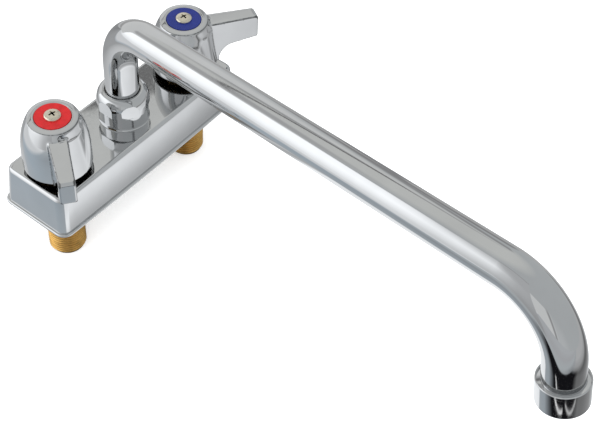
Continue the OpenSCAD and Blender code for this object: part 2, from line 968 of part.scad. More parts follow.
module stem_seal(side) {
    color("dimgray")
        at_valve(side)
            translate([0, 0, stem_ring_height])
                o_ring(stem_diameter / 2 - ring_thickness);
}

// A ceramic disc with two water ports
module ceramic_disc(side, foot, shade) {
    color(shade)
        at_valve(side)
            translate([0, 0, foot])
                difference() {
                    cylinder(d = disc_diameter, h = disc_thickness);
                    for (turn = [0, 180])
                        rotate([0, 0, turn])
                            translate([disc_port, 0, disc_thickness / 2])
                                cube([disc_port, disc_port, disc_thickness * 2], center = true);
                }
}

module seat_seal(side) {
    seal_band = 2;
    color("dimgray")
        at_valve(side)
            translate([0, 0, chamber_floor])
                ring(seal_diameter / 2, seal_diameter / 2 - seal_band, seal_thickness);
}

body();
shank(hot);  // hot_shank
shank(cold);  // cold_shank
spout_hub();
spout_nut();
spout_bearing();
spout_tube();
spout_ferrule();
spout_seal();
aerator_housing();
aerator_insert();
aerator_screen();
aerator_washer();
handle(hot);  // hot_handle
index(hot);  // hot_index
handle_screw(hot);  // hot_handle_screw
valve_body(hot);  // hot_valve_body
bonnet_nut(hot);  // hot_bonnet_nut
stem(hot);  // hot_stem
stem_seal(hot);  // hot_stem_seal
ceramic_disc(hot, turning_foot, "white");  // hot_turning_disc
ceramic_disc(hot, disc_foot, "whitesmoke");  // hot_fixed_disc
seat_seal(hot);  // hot_seat_seal
handle(cold);  // cold_handle
index(cold);  // cold_index
handle_screw(cold);  // cold_handle_screw
valve_body(cold);  // cold_valve_body
bonnet_nut(cold);  // cold_bonnet_nut
stem(cold);  // cold_stem
stem_seal(cold);  // cold_stem_seal
ceramic_disc(cold, turning_foot, "white");  // cold_turning_disc
ceramic_disc(cold, disc_foot, "whitesmoke");  // cold_fixed_disc
seat_seal(cold);  // cold_seat_seal
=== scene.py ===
import json
import math

import bmesh
import bpy
from bpy.props import FloatProperty, FloatVectorProperty, PointerProperty
from mathutils import Matrix, Vector


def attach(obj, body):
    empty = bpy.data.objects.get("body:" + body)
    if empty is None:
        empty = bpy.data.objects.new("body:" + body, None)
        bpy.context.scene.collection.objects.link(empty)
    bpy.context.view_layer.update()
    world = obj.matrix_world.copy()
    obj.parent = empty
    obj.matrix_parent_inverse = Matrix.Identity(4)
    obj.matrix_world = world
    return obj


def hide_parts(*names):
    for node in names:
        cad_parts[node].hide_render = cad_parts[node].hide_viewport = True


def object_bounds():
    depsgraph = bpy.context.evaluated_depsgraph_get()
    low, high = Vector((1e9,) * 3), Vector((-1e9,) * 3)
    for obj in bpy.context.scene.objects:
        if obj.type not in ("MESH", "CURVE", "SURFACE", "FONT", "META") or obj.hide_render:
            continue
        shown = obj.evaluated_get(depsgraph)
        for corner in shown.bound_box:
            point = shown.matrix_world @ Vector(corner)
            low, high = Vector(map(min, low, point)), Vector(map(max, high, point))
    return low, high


bl_info = {
    "name": "Bar faucet",
    "version": (1, 0, 0),
    "blender": (4, 5, 0),
    "location": "3D View > Sidebar > Faucet",
    "description": "Smooth chrome, brass and plastic pieces for a deck mounted bar faucet",
    "category": "Object",
}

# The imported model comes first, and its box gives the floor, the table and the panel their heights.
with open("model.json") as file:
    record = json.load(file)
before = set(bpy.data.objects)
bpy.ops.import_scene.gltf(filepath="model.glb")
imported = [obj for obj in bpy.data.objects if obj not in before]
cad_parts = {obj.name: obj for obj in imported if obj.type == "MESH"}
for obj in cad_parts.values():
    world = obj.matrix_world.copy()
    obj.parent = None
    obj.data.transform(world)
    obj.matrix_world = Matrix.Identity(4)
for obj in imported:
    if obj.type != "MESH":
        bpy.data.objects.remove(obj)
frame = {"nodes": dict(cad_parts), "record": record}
CAD_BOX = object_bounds()
MM = 0.001
# Points closer than this are merged, and points this close to a height count as level with it.
TOUCHING = 1e-7
CLOSE = 1e-6
HOT = -1
COLD = 1
SIDES = ((HOT, "hot"), (COLD, "cold"))
# The handles' attribute that tells how sharply their surface turns
EDGE_TURN = "edge_turn"
# The hole for the screw, in the handles and the index discs
SCREW_HOLE = 2.2 * MM


def length(name, description, millimetres):
    return FloatProperty(
        name=name,
        description=description,
        default=millimetres * MM,
        min=0,
        subtype="DISTANCE",
        unit="LENGTH",
    )


def angle(name, description, degrees):
    return FloatProperty(
        name=name,
        description=description,
        default=math.radians(degrees),
        subtype="ANGLE",
        unit="ROTATION",
    )


def share(name, description, value, highest=1.0):
    return FloatProperty(name=name, description=description, default=value, min=0, max=highest)


def colour(name, description, value):
    return FloatVectorProperty(
        name=name,
        description=description,
        default=value,
        size=3,
        min=0,
        max=1,
        subtype="COLOR",
    )


class FaucetBodySizes(bpy.types.PropertyGroup):
    valve_centres: length("Valve centres", "Distance between the two valve axes", 101.6)
    foot_length: length("Foot length", "Length of the walls at their foot", 144)
    foot_width: length("Foot width", "Width of the walls at their foot", 44.6)
    height: length("Height", "Height of the flat top over the deck", 25.5)
    draft: length("Draft", "How far the walls lean in toward the top", 1.8)
    bow: length("Bow", "How far the long sides swell at the middle", 0.66)
    corner: length("Corner", "Radius of the upright corners", 5.1)
    top_edge: length("Top edge", "Radius of the edge round the flat top", 2.3)
    bead_reach: length("Bead reach", "How far the bead at the foot stands out", 1.3)
    bead_height: length("Bead height", "Height of the bead at the foot", 1.5)
    wall: length("Wall", "Thickness of the side walls", 3.2)
    top_plate: length("Top plate", "Thickness of the plate over the open underside", 4)


class FaucetShankSizes(bpy.types.PropertyGroup):
    diameter: length("Diameter", "Diameter over the thread", 20.9)
    depth: length("Depth", "Length below the deck", 37.6)
    bore: length("Bore", "Diameter of the water way", 13)
    spigot: length("Spigot", "Diameter of the plain end inside the body", 19.8)
    spigot_depth: length("Spigot depth", "Length of the plain end inside the body", 6)
    pitch: length("Pitch", "Pitch of the thread", 1.814)
    thread_depth: length("Thread depth", "Depth of the thread", 0.95)


class FaucetSpoutSizes(bpy.types.PropertyGroup):
    hub_diameter: length("Hub diameter", "Diameter of the round hub", 27.4)
    hub_height: length("Hub height", "Height of the hub below the nut", 8.9)
    nut_diameter: length("Nut diameter", "Widest diameter of the nut", 29.2)
    nut_flats: length("Nut flats", "Distance across the flats of the nut", 27.6)
    nut_height: length("Nut height", "Height of the nut", 11.1)
    nut_opening: length("Nut opening", "Diameter of the opening in the nut", 19.3)
    nut_turn: angle("Nut turn", "Direction that one flat of the nut faces", 59.6)
    tube_diameter: length("Tube diameter", "Outer diameter of the tube", 18.7)
    tube_wall: length("Tube wall", "Wall of the tube", 1)
    arm_height: length("Arm height", "Height at which the arm's axis meets the swing axis", 90.05)
    arm_rise: angle("Arm rise", "Rise of the arm toward its outlet", 10.16)
    arm_reach: length("Arm reach", "Reach to where the arm's axis meets the outlet's", 286.9)
    first_bend: length("First bend", "Radius of the bend over the hub", 29.5)
    last_bend: length("Last bend", "Radius of the bend over the outlet", 31.8)
    outlet_lean: angle("Outlet lean", "How far the outlet leans outward", 12.5)
    arm_turn: angle("Arm turn", "Direction of the arm at rest", -100)
    housing_diameter: length("Housing diameter", "Diameter of the aerator housing", 23.32)
    housing_start: length("Housing start", "Distance of the housing along the outlet", 39.3)
    housing_length: length("Housing length", "Length of the aerator housing", 13.1)
    outlet_opening: length("Outlet opening", "Diameter of the opening at the outlet", 16.8)


class FaucetHandleSizes(bpy.types.PropertyGroup):
    rim_height: length("Rim height", "Height of the handle's rim over the deck", 29.5)
    height: length("Height", "Height of the handle from its rim", 32)
    rim_diameter: length("Rim diameter", "Diameter at the rim", 37.2)
    cap_diameter: length("Cap diameter", "Diameter of the cap under its edge", 27.4)
    cap_edge: length("Cap edge", "Rounding of the cap's edge", 0.6)
    cap_crown: length("Cap crown", "Rise of the cap toward the index disc", 0.5)
    bell_curve: share("Bell curve", "How late the bell draws in toward the cap", 3.4, 6)
    lever_reach: length("Lever reach", "Distance of the lever's end from the axis", 43.3)
    lever_root: length("Lever root", "Width of the lever at its root", 10.6)
    lever_end: length("Lever end", "Width of the lever at its end", 8.8)
    lever_drop: length("Lever drop", "Depth of the lever's top below the cap", 4.35)
    lever_fall: length("Lever fall", "Fall of the lever's top to its end", 1.45)
    lever_depth: length("Lever depth", "Depth of the lever's end face", 14.8)
    lever_nose: length("Lever nose", "Radius of the end's upper edge", 2.2)
    lever_fillet: length("Lever fillet", "Radius under the lever's root", 9)
    ledge_depth: length("Ledge depth", "Depth of the thumb scoop's ledge below the cap", 6.3)
    ledge_radius: length("Ledge radius", "Radius of the face over the ledge", 15)
    scoop_span: angle("Scoop span", "Span of the thumb scoop at half its height", 66)
    scoop_lean: angle("Scoop lean", "Lean of the scoop's far edge", 15)
    hot_turn: angle("Hot turn", "Direction of the hot lever at rest", -126.2)
    cold_turn: angle("Cold turn", "Direction of the cold lever at rest", -30.3)
    index_diameter: length("Index diameter", "Diameter of the index disc", 19.2)
    index_thickness: length("Index thickness", "Thickness of the index disc", 1.2)
    screw_head: length("Screw head", "Diameter of the handle screw's head", 9)
    screw_rise: length("Screw rise", "Height of the handle screw's head", 2)


class FaucetFinishes(bpy.types.PropertyGroup):
    chrome: colour("Chrome", "Tint of the chrome plate", (0.62, 0.625, 0.63))
    chrome_roughness: share("Chrome roughness", "Blur of the chrome's reflections", 0.05)
    brass: colour("Brass", "Tint of the threaded brass", (0.82, 0.48, 0.14))
    # A darker copy of the brass for the pieces inside: dull oxidised brass, darkened further as painted
    # shade under the handles.
    shaded_inner_brass: colour("Inner brass", "Tint of the dull brass inside", (0.30, 0.20, 0.08))
    nickel: colour("Nickel", "Tint of the handle screws", (0.80, 0.74, 0.60))
    hot_index: colour("Hot index", "Colour of the hot index disc", (0.44, 0.010, 0.012))
    cold_index: colour("Cold index", "Colour of the cold index disc", (0.008, 0.018, 0.15))
    rubber: colour("Rubber", "Colour of the seals", (0.02, 0.02, 0.021))
    ceramic: colour("Ceramic", "Colour of the ceramic discs", (0.85, 0.84, 0.80))
    plastic: colour("Plastic", "Colour of the moulded inner pieces", (0.80, 0.80, 0.77))


class FaucetStageLook(bpy.types.PropertyGroup):
    floor: colour("Floor", "Colour of the floor", (0.93, 0.93, 0.93))
    floor_glow: share("Floor glow", "Light that the floor gives of itself", 0.3)
    room: share("Room", "Brightness of the room", 1.0, 10)
    lights: share("Lights", "Brightness of the lights", 1.0, 10)


GROUPS = (
    ("faucet_body", FaucetBodySizes),
    ("faucet_shanks", FaucetShankSizes),
    ("faucet_spout", FaucetSpoutSizes),
    ("faucet_handles", FaucetHandleSizes),
    ("faucet_finishes", FaucetFinishes),
    ("faucet_stage", FaucetStageLook),
)


# Mesh helpers

def of_kind(items, kind):
    """The vertices, edges or faces among the items that an operator returned."""
    return [item for item in items if isinstance(item, kind)]


def everything(bm):
    return bm.verts[:] + bm.edges[:] + bm.faces[:]


def face_out(bm):
    """Turns all faces outward."""
    bmesh.ops.recalc_face_normals(bm, faces=bm.faces)


def mend(bm):
    """Joins the points that touch, and turns all faces outward."""
    bmesh.ops.remove_doubles(bm, verts=bm.verts, dist=TOUCHING)
    face_out(bm)


def edge_loop(bm, points, closed=True):
    """Vertices over the X axis from points given as reach and height, joined by edges in their order."""
    verts = [bm.verts.new((reach, 0, height)) for reach, height in points]
    for pair in zip(verts, verts[1:]):
        bm.edges.new(pair)
    if closed:
        bm.edges.new((verts[-1], verts[0]))
    return verts


def drawn(points):
    """A flat face over the X axis, from points given as reach and height."""
    bm = bmesh.new()
    bm.faces.new(edge_loop(bm, points))
    return bm


def arc(centre, radii, start, end, steps):
    """Points along a part of an ellipse, from one angle to another."""
    points = []
    for step in range(steps + 1):
        turn = start + (end - start) * step / steps
        points.append((centre[0] + radii[0] * math.cos(turn), centre[1] + radii[1] * math.sin(turn)))
    return points


def spin(bm, geometry, steps, turn, centre=(0, 0, 0), axis=(0, 0, 1), lift=0, merge=False):
    """Carries geometry round an axis, with a lift at each step, and returns its last place."""
    made = bmesh.ops.spin(
        bm,
        geom=geometry,
        cent=centre,
        axis=axis,
        dvec=(0, 0, lift),
        angle=turn,
        steps=steps,
        use_merge=merge,
        use_duplicate=False,
    )
    return made["geom_last"]


def turned(points, closed=True, steps=96):
    """A solid of revolution about Z from points given as radius and height."""
    bm = bmesh.new()
    edge_loop(bm, points, closed)
    spin(bm, everything(bm), steps, math.tau, merge=True)
    mend(bm)
    return bm


def bisect(bm, place, outward, clear=False):
    """Cuts edges and faces along a plane, and can clear what lies beyond it."""
    return bmesh.ops.bisect_plane(
        bm,
        geom=everything(bm),
        dist=TOUCHING,
        plane_co=place,
        plane_no=outward,
        clear_outer=clear,
    )


def slice_off(bm, place, outward):
    """Cuts away what lies beyond a plane, and closes the cut."""
    cut = bisect(bm, place, outward, True)
    bmesh.ops.edgeloop_fill(bm, edges=of_kind(cut["geom_cut"], bmesh.types.BMEdge))


def bevel(bm, edges, size, segments):
    """Rounds edges to a size."""
    bmesh.ops.bevel(
        bm,
        geom=edges,
        offset=size,
        offset_type="OFFSET",
        segments=segments,
        profile=0.5,
        affect="EDGES",
        clamp_overlap=True,
        material=-1,
    )


def round_rings(bm, rings, segments):
    """Rounds the rings of a turned solid that lie at a radius and height, each with its own size."""
    near = 0.02 * MM
    for radius, height, size in rings:
        found = [
            edge for edge in bm.edges
            if all(
                abs(math.hypot(vert.co.x, vert.co.y) - radius) < near
                and abs(vert.co.z - height) < near
                for vert in edge.verts
            )
        ]
        bevel(bm, found, size, segments)


def cylinder(radius, foot, top, segments=64, top_radius=None):
    """A closed cylinder about Z, or a cone where its top has another radius."""
    bm = bmesh.new()
    bmesh.ops.create_cone(
        bm,
        cap_ends=True,
        cap_tris=False,
        segments=segments,
        radius1=radius,
        radius2=top_radius or radius,
        depth=top - foot,
    )
    bmesh.ops.translate(bm, vec=(0, 0, (foot + top) / 2), verts=bm.verts)
    return bm


def block(low, high):
    """A closed box between two corners."""
    bm = bmesh.new()
    bmesh.ops.create_cube(bm, size=1)
    low = Vector(low)
    high = Vector(high)
    bmesh.ops.scale(bm, vec=high - low, verts=bm.verts)
    bmesh.ops.translate(bm, vec=(low + high) / 2, verts=bm.verts)
    return bm


def moved(bm, matrix):
    """The bmesh itself, after a move."""
    bmesh.ops.transform(bm, matrix=matrix, verts=bm.verts)
    return bm


def at_valve(side):
    """Carries a shape from the swing axis to a valve's axis."""
    half_centres = bpy.context.scene.faucet_body.valve_centres / 2
    return Matrix.Translation((side * half_centres, 0, 0))


def piece_from(bm, name):
    """A mesh object at the origin that holds the bmesh."""
    mesh = bpy.data.meshes.new(name)
    bm.to_mesh(mesh)
    bm.free()
    piece = bpy.data.objects.new(name, mesh)
    bpy.context.scene.collection.objects.link(piece)
    return piece


def mesh_of(piece):
    """A bmesh with a copy of the piece's mesh."""
    bm = bmesh.new()
    bm.from_mesh(piece.data)
    return bm


def discard(piece):
    """Removes a piece with its mesh."""
    mesh = piece.data
    bpy.data.objects.remove(piece)
    bpy.data.meshes.remove(mesh)


def modify(piece, kind, **settings):
    """Puts the result of a modifier in the piece's mesh."""
    modifier = piece.modifiers.new(kind.lower(), kind)
    for name, value in settings.items():
        setattr(modifier, name, value)
    bpy.context.view_layer.update()
    depsgraph = bpy.context.evaluated_depsgraph_get()
    mesh = bpy.data.meshes.new_from_object(piece.evaluated_get(depsgraph))
    old = piece.data
    piece.modifiers.clear()
    piece.data = mesh
    bpy.data.meshes.remove(old)


def combine(piece, bm, operation="DIFFERENCE"):
    """Cuts a closed shape from the piece, or joins it on."""
    tool = piece_from(bm, "tool")
    modify(piece, "BOOLEAN", operation=operation, solver="EXACT", object=tool)
    discard(tool)


def measure_turn(bm, rounds=2):
    """Stores on each vertex how sharply the surface turns there, evened out, and returns the layer."""
    layer = bm.verts.layers.float.new(EDGE_TURN)
    bm.normal_update()
    for vert in bm.verts:
        turns = [edge.calc_face_angle_signed(0) for edge in vert.link_edges]
        vert[layer] = abs(sum(turns) / len(turns))
    for step in range(rounds):
        evened = []
        for vert in bm.verts:
            near = [edge.other_vert(vert)[layer] for edge in vert.link_edges]
            evened.append((vert[layer] + sum(near) / len(near)) / 2)
        for vert, turn in zip(bm.verts, evened):
            vert[layer] = turn
    return layer


def soften(bm, verts, rounds):
    """Draws the vertices toward their neighbours, which evens out small unevenness."""
    for step in range(rounds):
        bmesh.ops.smooth_vert(
            bm,
            verts=verts,
            factor=0.5,
            use_axis_x=True,
            use_axis_y=True,
            use_axis_z=True,
        )


def shade_smooth(piece, crease):
    """Smooth shading with sharp edges where the surface turns by more than the crease angle."""
    bm = mesh_of(piece)
    limit = math.radians(crease)
    for face in bm.faces:
        face.smooth = True
    for edge in bm.edges:
        edge.smooth = len(edge.link_faces) == 2 and edge.calc_face_angle(0) < limit
    bm.to_mesh(piece.data)
    bm.free()


def finish_piece(piece, material, body, nodes, crease=35, weigh=True):
    """Shades a piece, gives it its finish, and puts it on its body in place of its CAD nodes."""
    shade_smooth(piece, crease)
    if weigh:
        # Weighted normals keep large faces flat beside their small rounded edges.
        modify(piece, "WEIGHTED_NORMAL", keep_sharp=True, mode="FACE_AREA")
    piece.data.materials.clear()
    piece.data.materials.append(material)
    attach(piece, body)
    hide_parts(*nodes)


# Finishes

def put(tree, node, inputs):
    """Sets or links a node's inputs, each given by its name or number."""
    for socket, value in inputs.items():
        if isinstance(value, bpy.types.NodeSocket):
            tree.links.new(value, node.inputs[socket])
        else:
            node.inputs[socket].default_value = value


def add_node(tree, kind, inputs, **settings):
    """A new node with its settings and inputs."""
    node = tree.nodes.new("ShaderNode" + kind)
    for name, value in settings.items():
        setattr(node, name, value)
    put(tree, node, inputs)
    return node


def new_material(name):
    """An empty material with its shader, and the coordinates that every pattern reads."""
    material = bpy.data.materials.new(name)
    material.use_nodes = True
    tree = material.node_tree
    place = add_node(tree, "TexCoord", {}).outputs["Object"]
    return material, tree, tree.nodes["Principled BSDF"], place


def noise(tree, place, scale, detail=2.0, roughness=0.5, stretch=None):
    """A noise pattern over the piece, with features about 1 / scale metres long."""
    if stretch:
        place = add_node(tree, "Mapping", {"Vector": place, "Scale": stretch}).outputs["Vector"]
    inputs = {"Vector": place, "Scale": scale, "Detail": detail, "Roughness": roughness}
    return add_node(tree, "TexNoise", inputs).outputs["Fac"]


def spread(tree, value, low, high, start=0.35, end=0.65):
    """Maps a pattern's middle range to the values from low to high."""
    inputs = {"Value": value, "From Min": start, "From Max": end, "To Min": low, "To Max": high}
    return add_node(tree, "MapRange", inputs).outputs["Result"]


def past(tree, value, start, end):
    """A mask that goes from 0 at the start value to 1 at the end value, up or down."""
    return spread(tree, value, 0, 1, start, end)


def fill_ramp(ramp, stops):
    """Gives a colour ramp its stops, in any order."""
    band = ramp.color_ramp
    stops = sorted(stops)
    while len(band.elements) < len(stops):
        band.elements.new(0.5)
    for element, (position, shade) in zip(band.elements, stops):
        element.position = position
        element.color = (*shade, 1)


def shades(tree, value, dark, light):
    """Blends two colours along a pattern's middle range."""
    ramp = add_node(tree, "ValToRGB", {"Fac": value})
    fill_ramp(ramp, [(0.35, dark), (0.65, light)])
    return ramp.outputs["Color"]


def relief(tree, height, depth):
    """The normals of a surface with a pattern of shallow bumps."""
    inputs = {"Strength": 1, "Distance": depth, "Height": height}
    return add_node(tree, "Bump", inputs).outputs["Normal"]


def darker(tint, factor):
    return tuple(channel * factor for channel in tint)


def split(tree, place):
    """The X, Y and Z of a place."""
    return add_node(tree, "SeparateXYZ", {"Vector": place}).outputs


def calculate(tree, operation, *values):
    """The result of an operation on patterns and numbers."""
    return add_node(tree, "Math", dict(enumerate(values)), operation=operation).outputs[0]


def all_of(tree, *masks):
    """A mask that is 1 where all the masks are."""
    result = masks[0]
    for mask in masks[1:]:
        result = calculate(tree, "MULTIPLY", result, mask)
    return result


def with_alpha(shade):
    """A colour with its alpha, or a pattern as it is."""
    return (*shade, 1) if isinstance(shade, tuple) else shade


def over(tree, base, mask, shade, blend="MIX"):
    """Lays a shade over another where the mask is 1."""
    inputs = {"Factor": mask, 6: with_alpha(base), 7: with_alpha(shade)}
    return add_node(tree, "Mix", inputs, data_type="RGBA", blend_type=blend).outputs[2]


def from_axis(tree, place):
    """Distance from the nearer valve's upright axis."""
    parts = split(tree, place)
    across = calculate(tree, "ABSOLUTE", parts["X"])
    flat = add_node(tree, "CombineXYZ", {"X": across, "Y": parts["Y"]}).outputs["Vector"]
    axis = (bpy.context.scene.faucet_body.valve_centres / 2, 0, 0)
    return add_node(tree, "VectorMath", {0: flat, 1: axis}, operation="DISTANCE").outputs["Value"]


def finishes():
    return bpy.context.scene.faucet_finishes


def chrome_finish(name, wave=0, wave_scale=40, polish=(1, 1, 1)):
    """Bright plate with faint haze, fine polishing marks and the slow waves of a polished casting."""
    material, tree, shader, place = new_material(name)
    tint = tuple(finishes().chrome)
    blur = finishes().chrome_roughness
    marks = noise(tree, place, 700, 4, 0.6, polish)
    put(tree, shader, {
        "Base Color": shades(tree, noise(tree, place, 55, 3), darker(tint, 0.95), tint),
        "Roughness": spread(tree, marks, blur * 0.7, blur * 1.5),
        "Metallic": 1,
    })
    if wave:
        put(tree, shader, {"Normal": relief(tree, noise(tree, place, wave_scale, 1), wave)})
    return material


def turned_plate():
    """The plate of the turned pieces, polished round their axes, and made on first use."""
    found = bpy.data.materials.get("turned_plate")
    return found or chrome_finish("turned_plate", polish=(0.2, 0.2, 4))


def paint_shade_over(tree, shader, mask, shade):
    """Paints a darker colour over the shader's colour where the mask is 1, for painted shade and painted
    reflections.
    """
    tint = shader.inputs["Base Color"].links[0].from_socket
    put(tree, shader, {"Base Color": over(tree, tint, mask, shade)})


def handle_finish(name):
    """The handles' plate, with dark lines painted along their sharp edges as painted reflections, and
    dull in the hollow, where it doesn't reach, with painted shade there.
    """
    material = chrome_finish(name, 0.04 * MM, 60)
    tree = material.node_tree
    shader = tree.nodes["Principled BSDF"]
    place = tree.nodes["Texture Coordinate"].outputs["Object"]
    height = split(tree, place)["Z"]
    away = from_axis(tree, place)
    # Painted reflection: thin dark lines along the sharp edges stand in for the dark mirror images that
    # chrome edges show.
    turning = add_node(tree, "Attribute", {}, attribute_name=EDGE_TURN).outputs["Fac"]
    sharp = spread(tree, turning, 0, 0.85, 0.088, 0.14)
    beyond_index = past(tree, away, 10.8 * MM, 11.2 * MM)
    paint_shade_over(tree, shader, all_of(tree, sharp, beyond_index), (0.08, 0.08, 0.08))
    # The hollow under the skirt is unplated casting, dull and dark, and its colour is darkened further to
    # near black as painted shade.
    skirt_lean = 0.111
    dullness = 0.6
    hollow = all_of(
        tree,
        past(tree, calculate(tree, "MULTIPLY_ADD", height, skirt_lean, away), 20.5 * MM, 20.2 * MM),
        past(tree, height, 52.3 * MM, 52.1 * MM),
    )
    paint_shade_over(tree, shader, hollow, (0.03, 0.027, 0.022))
    haze = shader.inputs["Roughness"].links[0].from_socket
    put(tree, shader, {"Roughness": calculate(tree, "MULTIPLY_ADD", hollow, dullness, haze)})
    return material


def brass_finish(name, tint, worn, root=0):
    """Bare brass, mottled by handling, with fine turning marks round its axis and painted shade in its
    thread roots.
    """
    material, tree, shader, place = new_material(name)
    colours = shades(tree, noise(tree, place, 210, 5, 0.6), darker(tint, 0.72), tint)
    if root:
        # Painted shade: the thread roots are darkened where shade falls between the crests.
        thread_root_shade = past(tree, from_axis(tree, place), root + 0.6 * MM, root)
        colours = over(tree, colours, thread_root_shade, darker(tint, 0.42))
    marks = noise(tree, place, 500, 4, 0.6, (0.15, 0.15, 6))
    put(tree, shader, {
        "Base Color": colours,
        "Roughness": spread(tree, marks, worn * 0.7, worn * 1.4),
        "Metallic": 1,
        "Normal": relief(tree, marks, 0.02 * MM),
    })
    return material


def grained_finish(name, tint, depth, shade, blur, grain, metallic=0):
    """A finish whose grain shows in its colour, its gloss and its relief."""
    material, tree, shader, place = new_material(name)
    pattern = noise(tree, place, *grain)
    put(tree, shader, {
        "Base Color": shades(tree, pattern, darker(tint, shade), tint),
        "Roughness": spread(tree, pattern, *blur),
        "Metallic": metallic,
        "Normal": relief(tree, pattern, depth),
    })
    return material


def soft_finish(name, tint, low, high, grain_scale, grain_depth):
    """Rubber, ceramic or moulded plastic with its own grain."""
    return grained_finish(name, tint, grain_depth, 0.82, (low, high), (grain_scale, 4, 0.6))


def steel_finish(name):
    """Thin stainless sheet with a cross grain."""
    grain = (900, 3, 0.5, (4, 0.3, 1))
    return grained_finish(name, (0.62, 0.63, 0.64), 0.01 * MM, 0.8, (0.25, 0.45), grain, 1)


def nickel_finish(name, head_top):
    """Warm nickel plate with a faint grain, and painted shade in the depth of its cross."""
    tint = tuple(finishes().nickel)
    material = grained_finish(name, tint, 0.01 * MM, 0.85, (0.2, 0.36), (1400, 4, 0.6), 1)
    tree = material.node_tree
    place = tree.nodes["Texture Coordinate"].outputs["Object"]
    # Painted shade: the cross recess is darkened to near black where shade falls in its depth.
    cross = all_of(
        tree,
        past(tree, from_axis(tree, place), 3.2 * MM, 3.0 * MM),
        past(tree, split(tree, place)["Z"], head_top - 0.45 * MM, head_top - 0.9 * MM),
    )
    paint_shade_over(tree, tree.nodes["Principled BSDF"], cross, (0.03, 0.025, 0.02))
    return material


def index_finish(name, tint):
    """Glossy moulded plastic with a little depth in its colour."""
    material, tree, shader, place = new_material(name)
    fine = noise(tree, place, 1800, 3, 0.5)
    put(tree, shader, {
        "Base Color": shades(tree, noise(tree, place, 320, 5, 0.6), darker(tint, 0.8), tint),
        "Roughness": spread(tree, fine, 0.28, 0.42),
        "Specular IOR Level": 0.4,
        "Normal": relief(tree, fine, 0.012 * MM),
    })
    return material


# Body casting

def bowed_block(half_length, half_width, draft, bow, corner, foot, top):
    """A block whose walls lean in by the draft, with swollen long sides and round upright corners."""
    bm = block((-half_length, -half_width, foot), (half_length, half_width, top))
    upper = [vert for vert in bm.verts if vert.co.z > (foot + top) / 2]
    shrink = (1 - draft / half_length, 1 - draft / half_width, 1)
    bmesh.ops.scale(bm, vec=shrink, verts=upper)
    long_edges = [
        edge for edge in bm.edges
        if abs(edge.verts[0].co.x - edge.verts[1].co.x) > half_length
    ]
    bmesh.ops.subdivide_edges(bm, edges=long_edges, cuts=15, use_grid_fill=True)
    for vert in bm.verts:
        swell = bow * max(0, 1 - (vert.co.x / half_length) ** 2)
        bmesh.ops.translate(bm, vec=(0, math.copysign(swell, vert.co.y), 0), verts=[vert])
    upright = [
        edge for edge in bm.edges
        if abs(edge.verts[0].co.z - edge.verts[1].co.z) > (top - foot) / 2
        and all(abs(vert.co.x) > half_length * 0.95 for vert in edge.verts)
    ]
    bevel(bm, upright, corner, 8)
    return bm


def push_out(bm, faces, reach):
    """Grows a band of upright faces outward, square to its outline, and returns its new faces."""
    grown = bmesh.ops.extrude_face_region(bm, geom=faces)["geom"]
    new_faces = set(of_kind(grown, bmesh.types.BMFace))
    bm.normal_update()
    steps = {}
    for vert in of_kind(grown, bmesh.types.BMVert):
        sides = [
            Vector((face.normal.x, face.normal.y, 0)).normalized()
            for face in vert.link_faces
            if face in new_faces
        ]
        outward = sum(sides, Vector((0, 0, 0))).normalized()
        steps[vert] = outward * reach / max(0.5, min(outward.dot(side) for side in sides))
    for vert, step in steps.items():
        bmesh.ops.translate(bm, vec=step, verts=[vert])
    bmesh.ops.delete(bm, geom=[face for face in faces if face.is_valid], context="FACES_ONLY")
    return new_faces


def add_bead(bm, height, reach):
    """Draws the foot of the walls outward to a bead, and rounds its edges."""
    bm.normal_update()
    band = [
        face for face in bm.faces
        if abs(face.normal.z) < 0.5
        and all(vert.co.z < height + CLOSE for vert in face.verts)
    ]
    bead = push_out(bm, band, reach)
    face_out(bm)
    level = [
        edge for edge in set(edge for face in bead if face.is_valid for edge in face.edges)
        if abs(edge.verts[0].co.z - edge.verts[1].co.z) < CLOSE
        and any(face not in bead for face in edge.link_faces)
    ]
    upper = [edge for edge in level if edge.verts[0].co.z > height / 2]
    lower = [edge for edge in level if edge.verts[0].co.z < height / 2]
    bevel(bm, upper, height * 0.6, 6)
    bevel(bm, lower, height * 0.3, 3)
    face_out(bm)


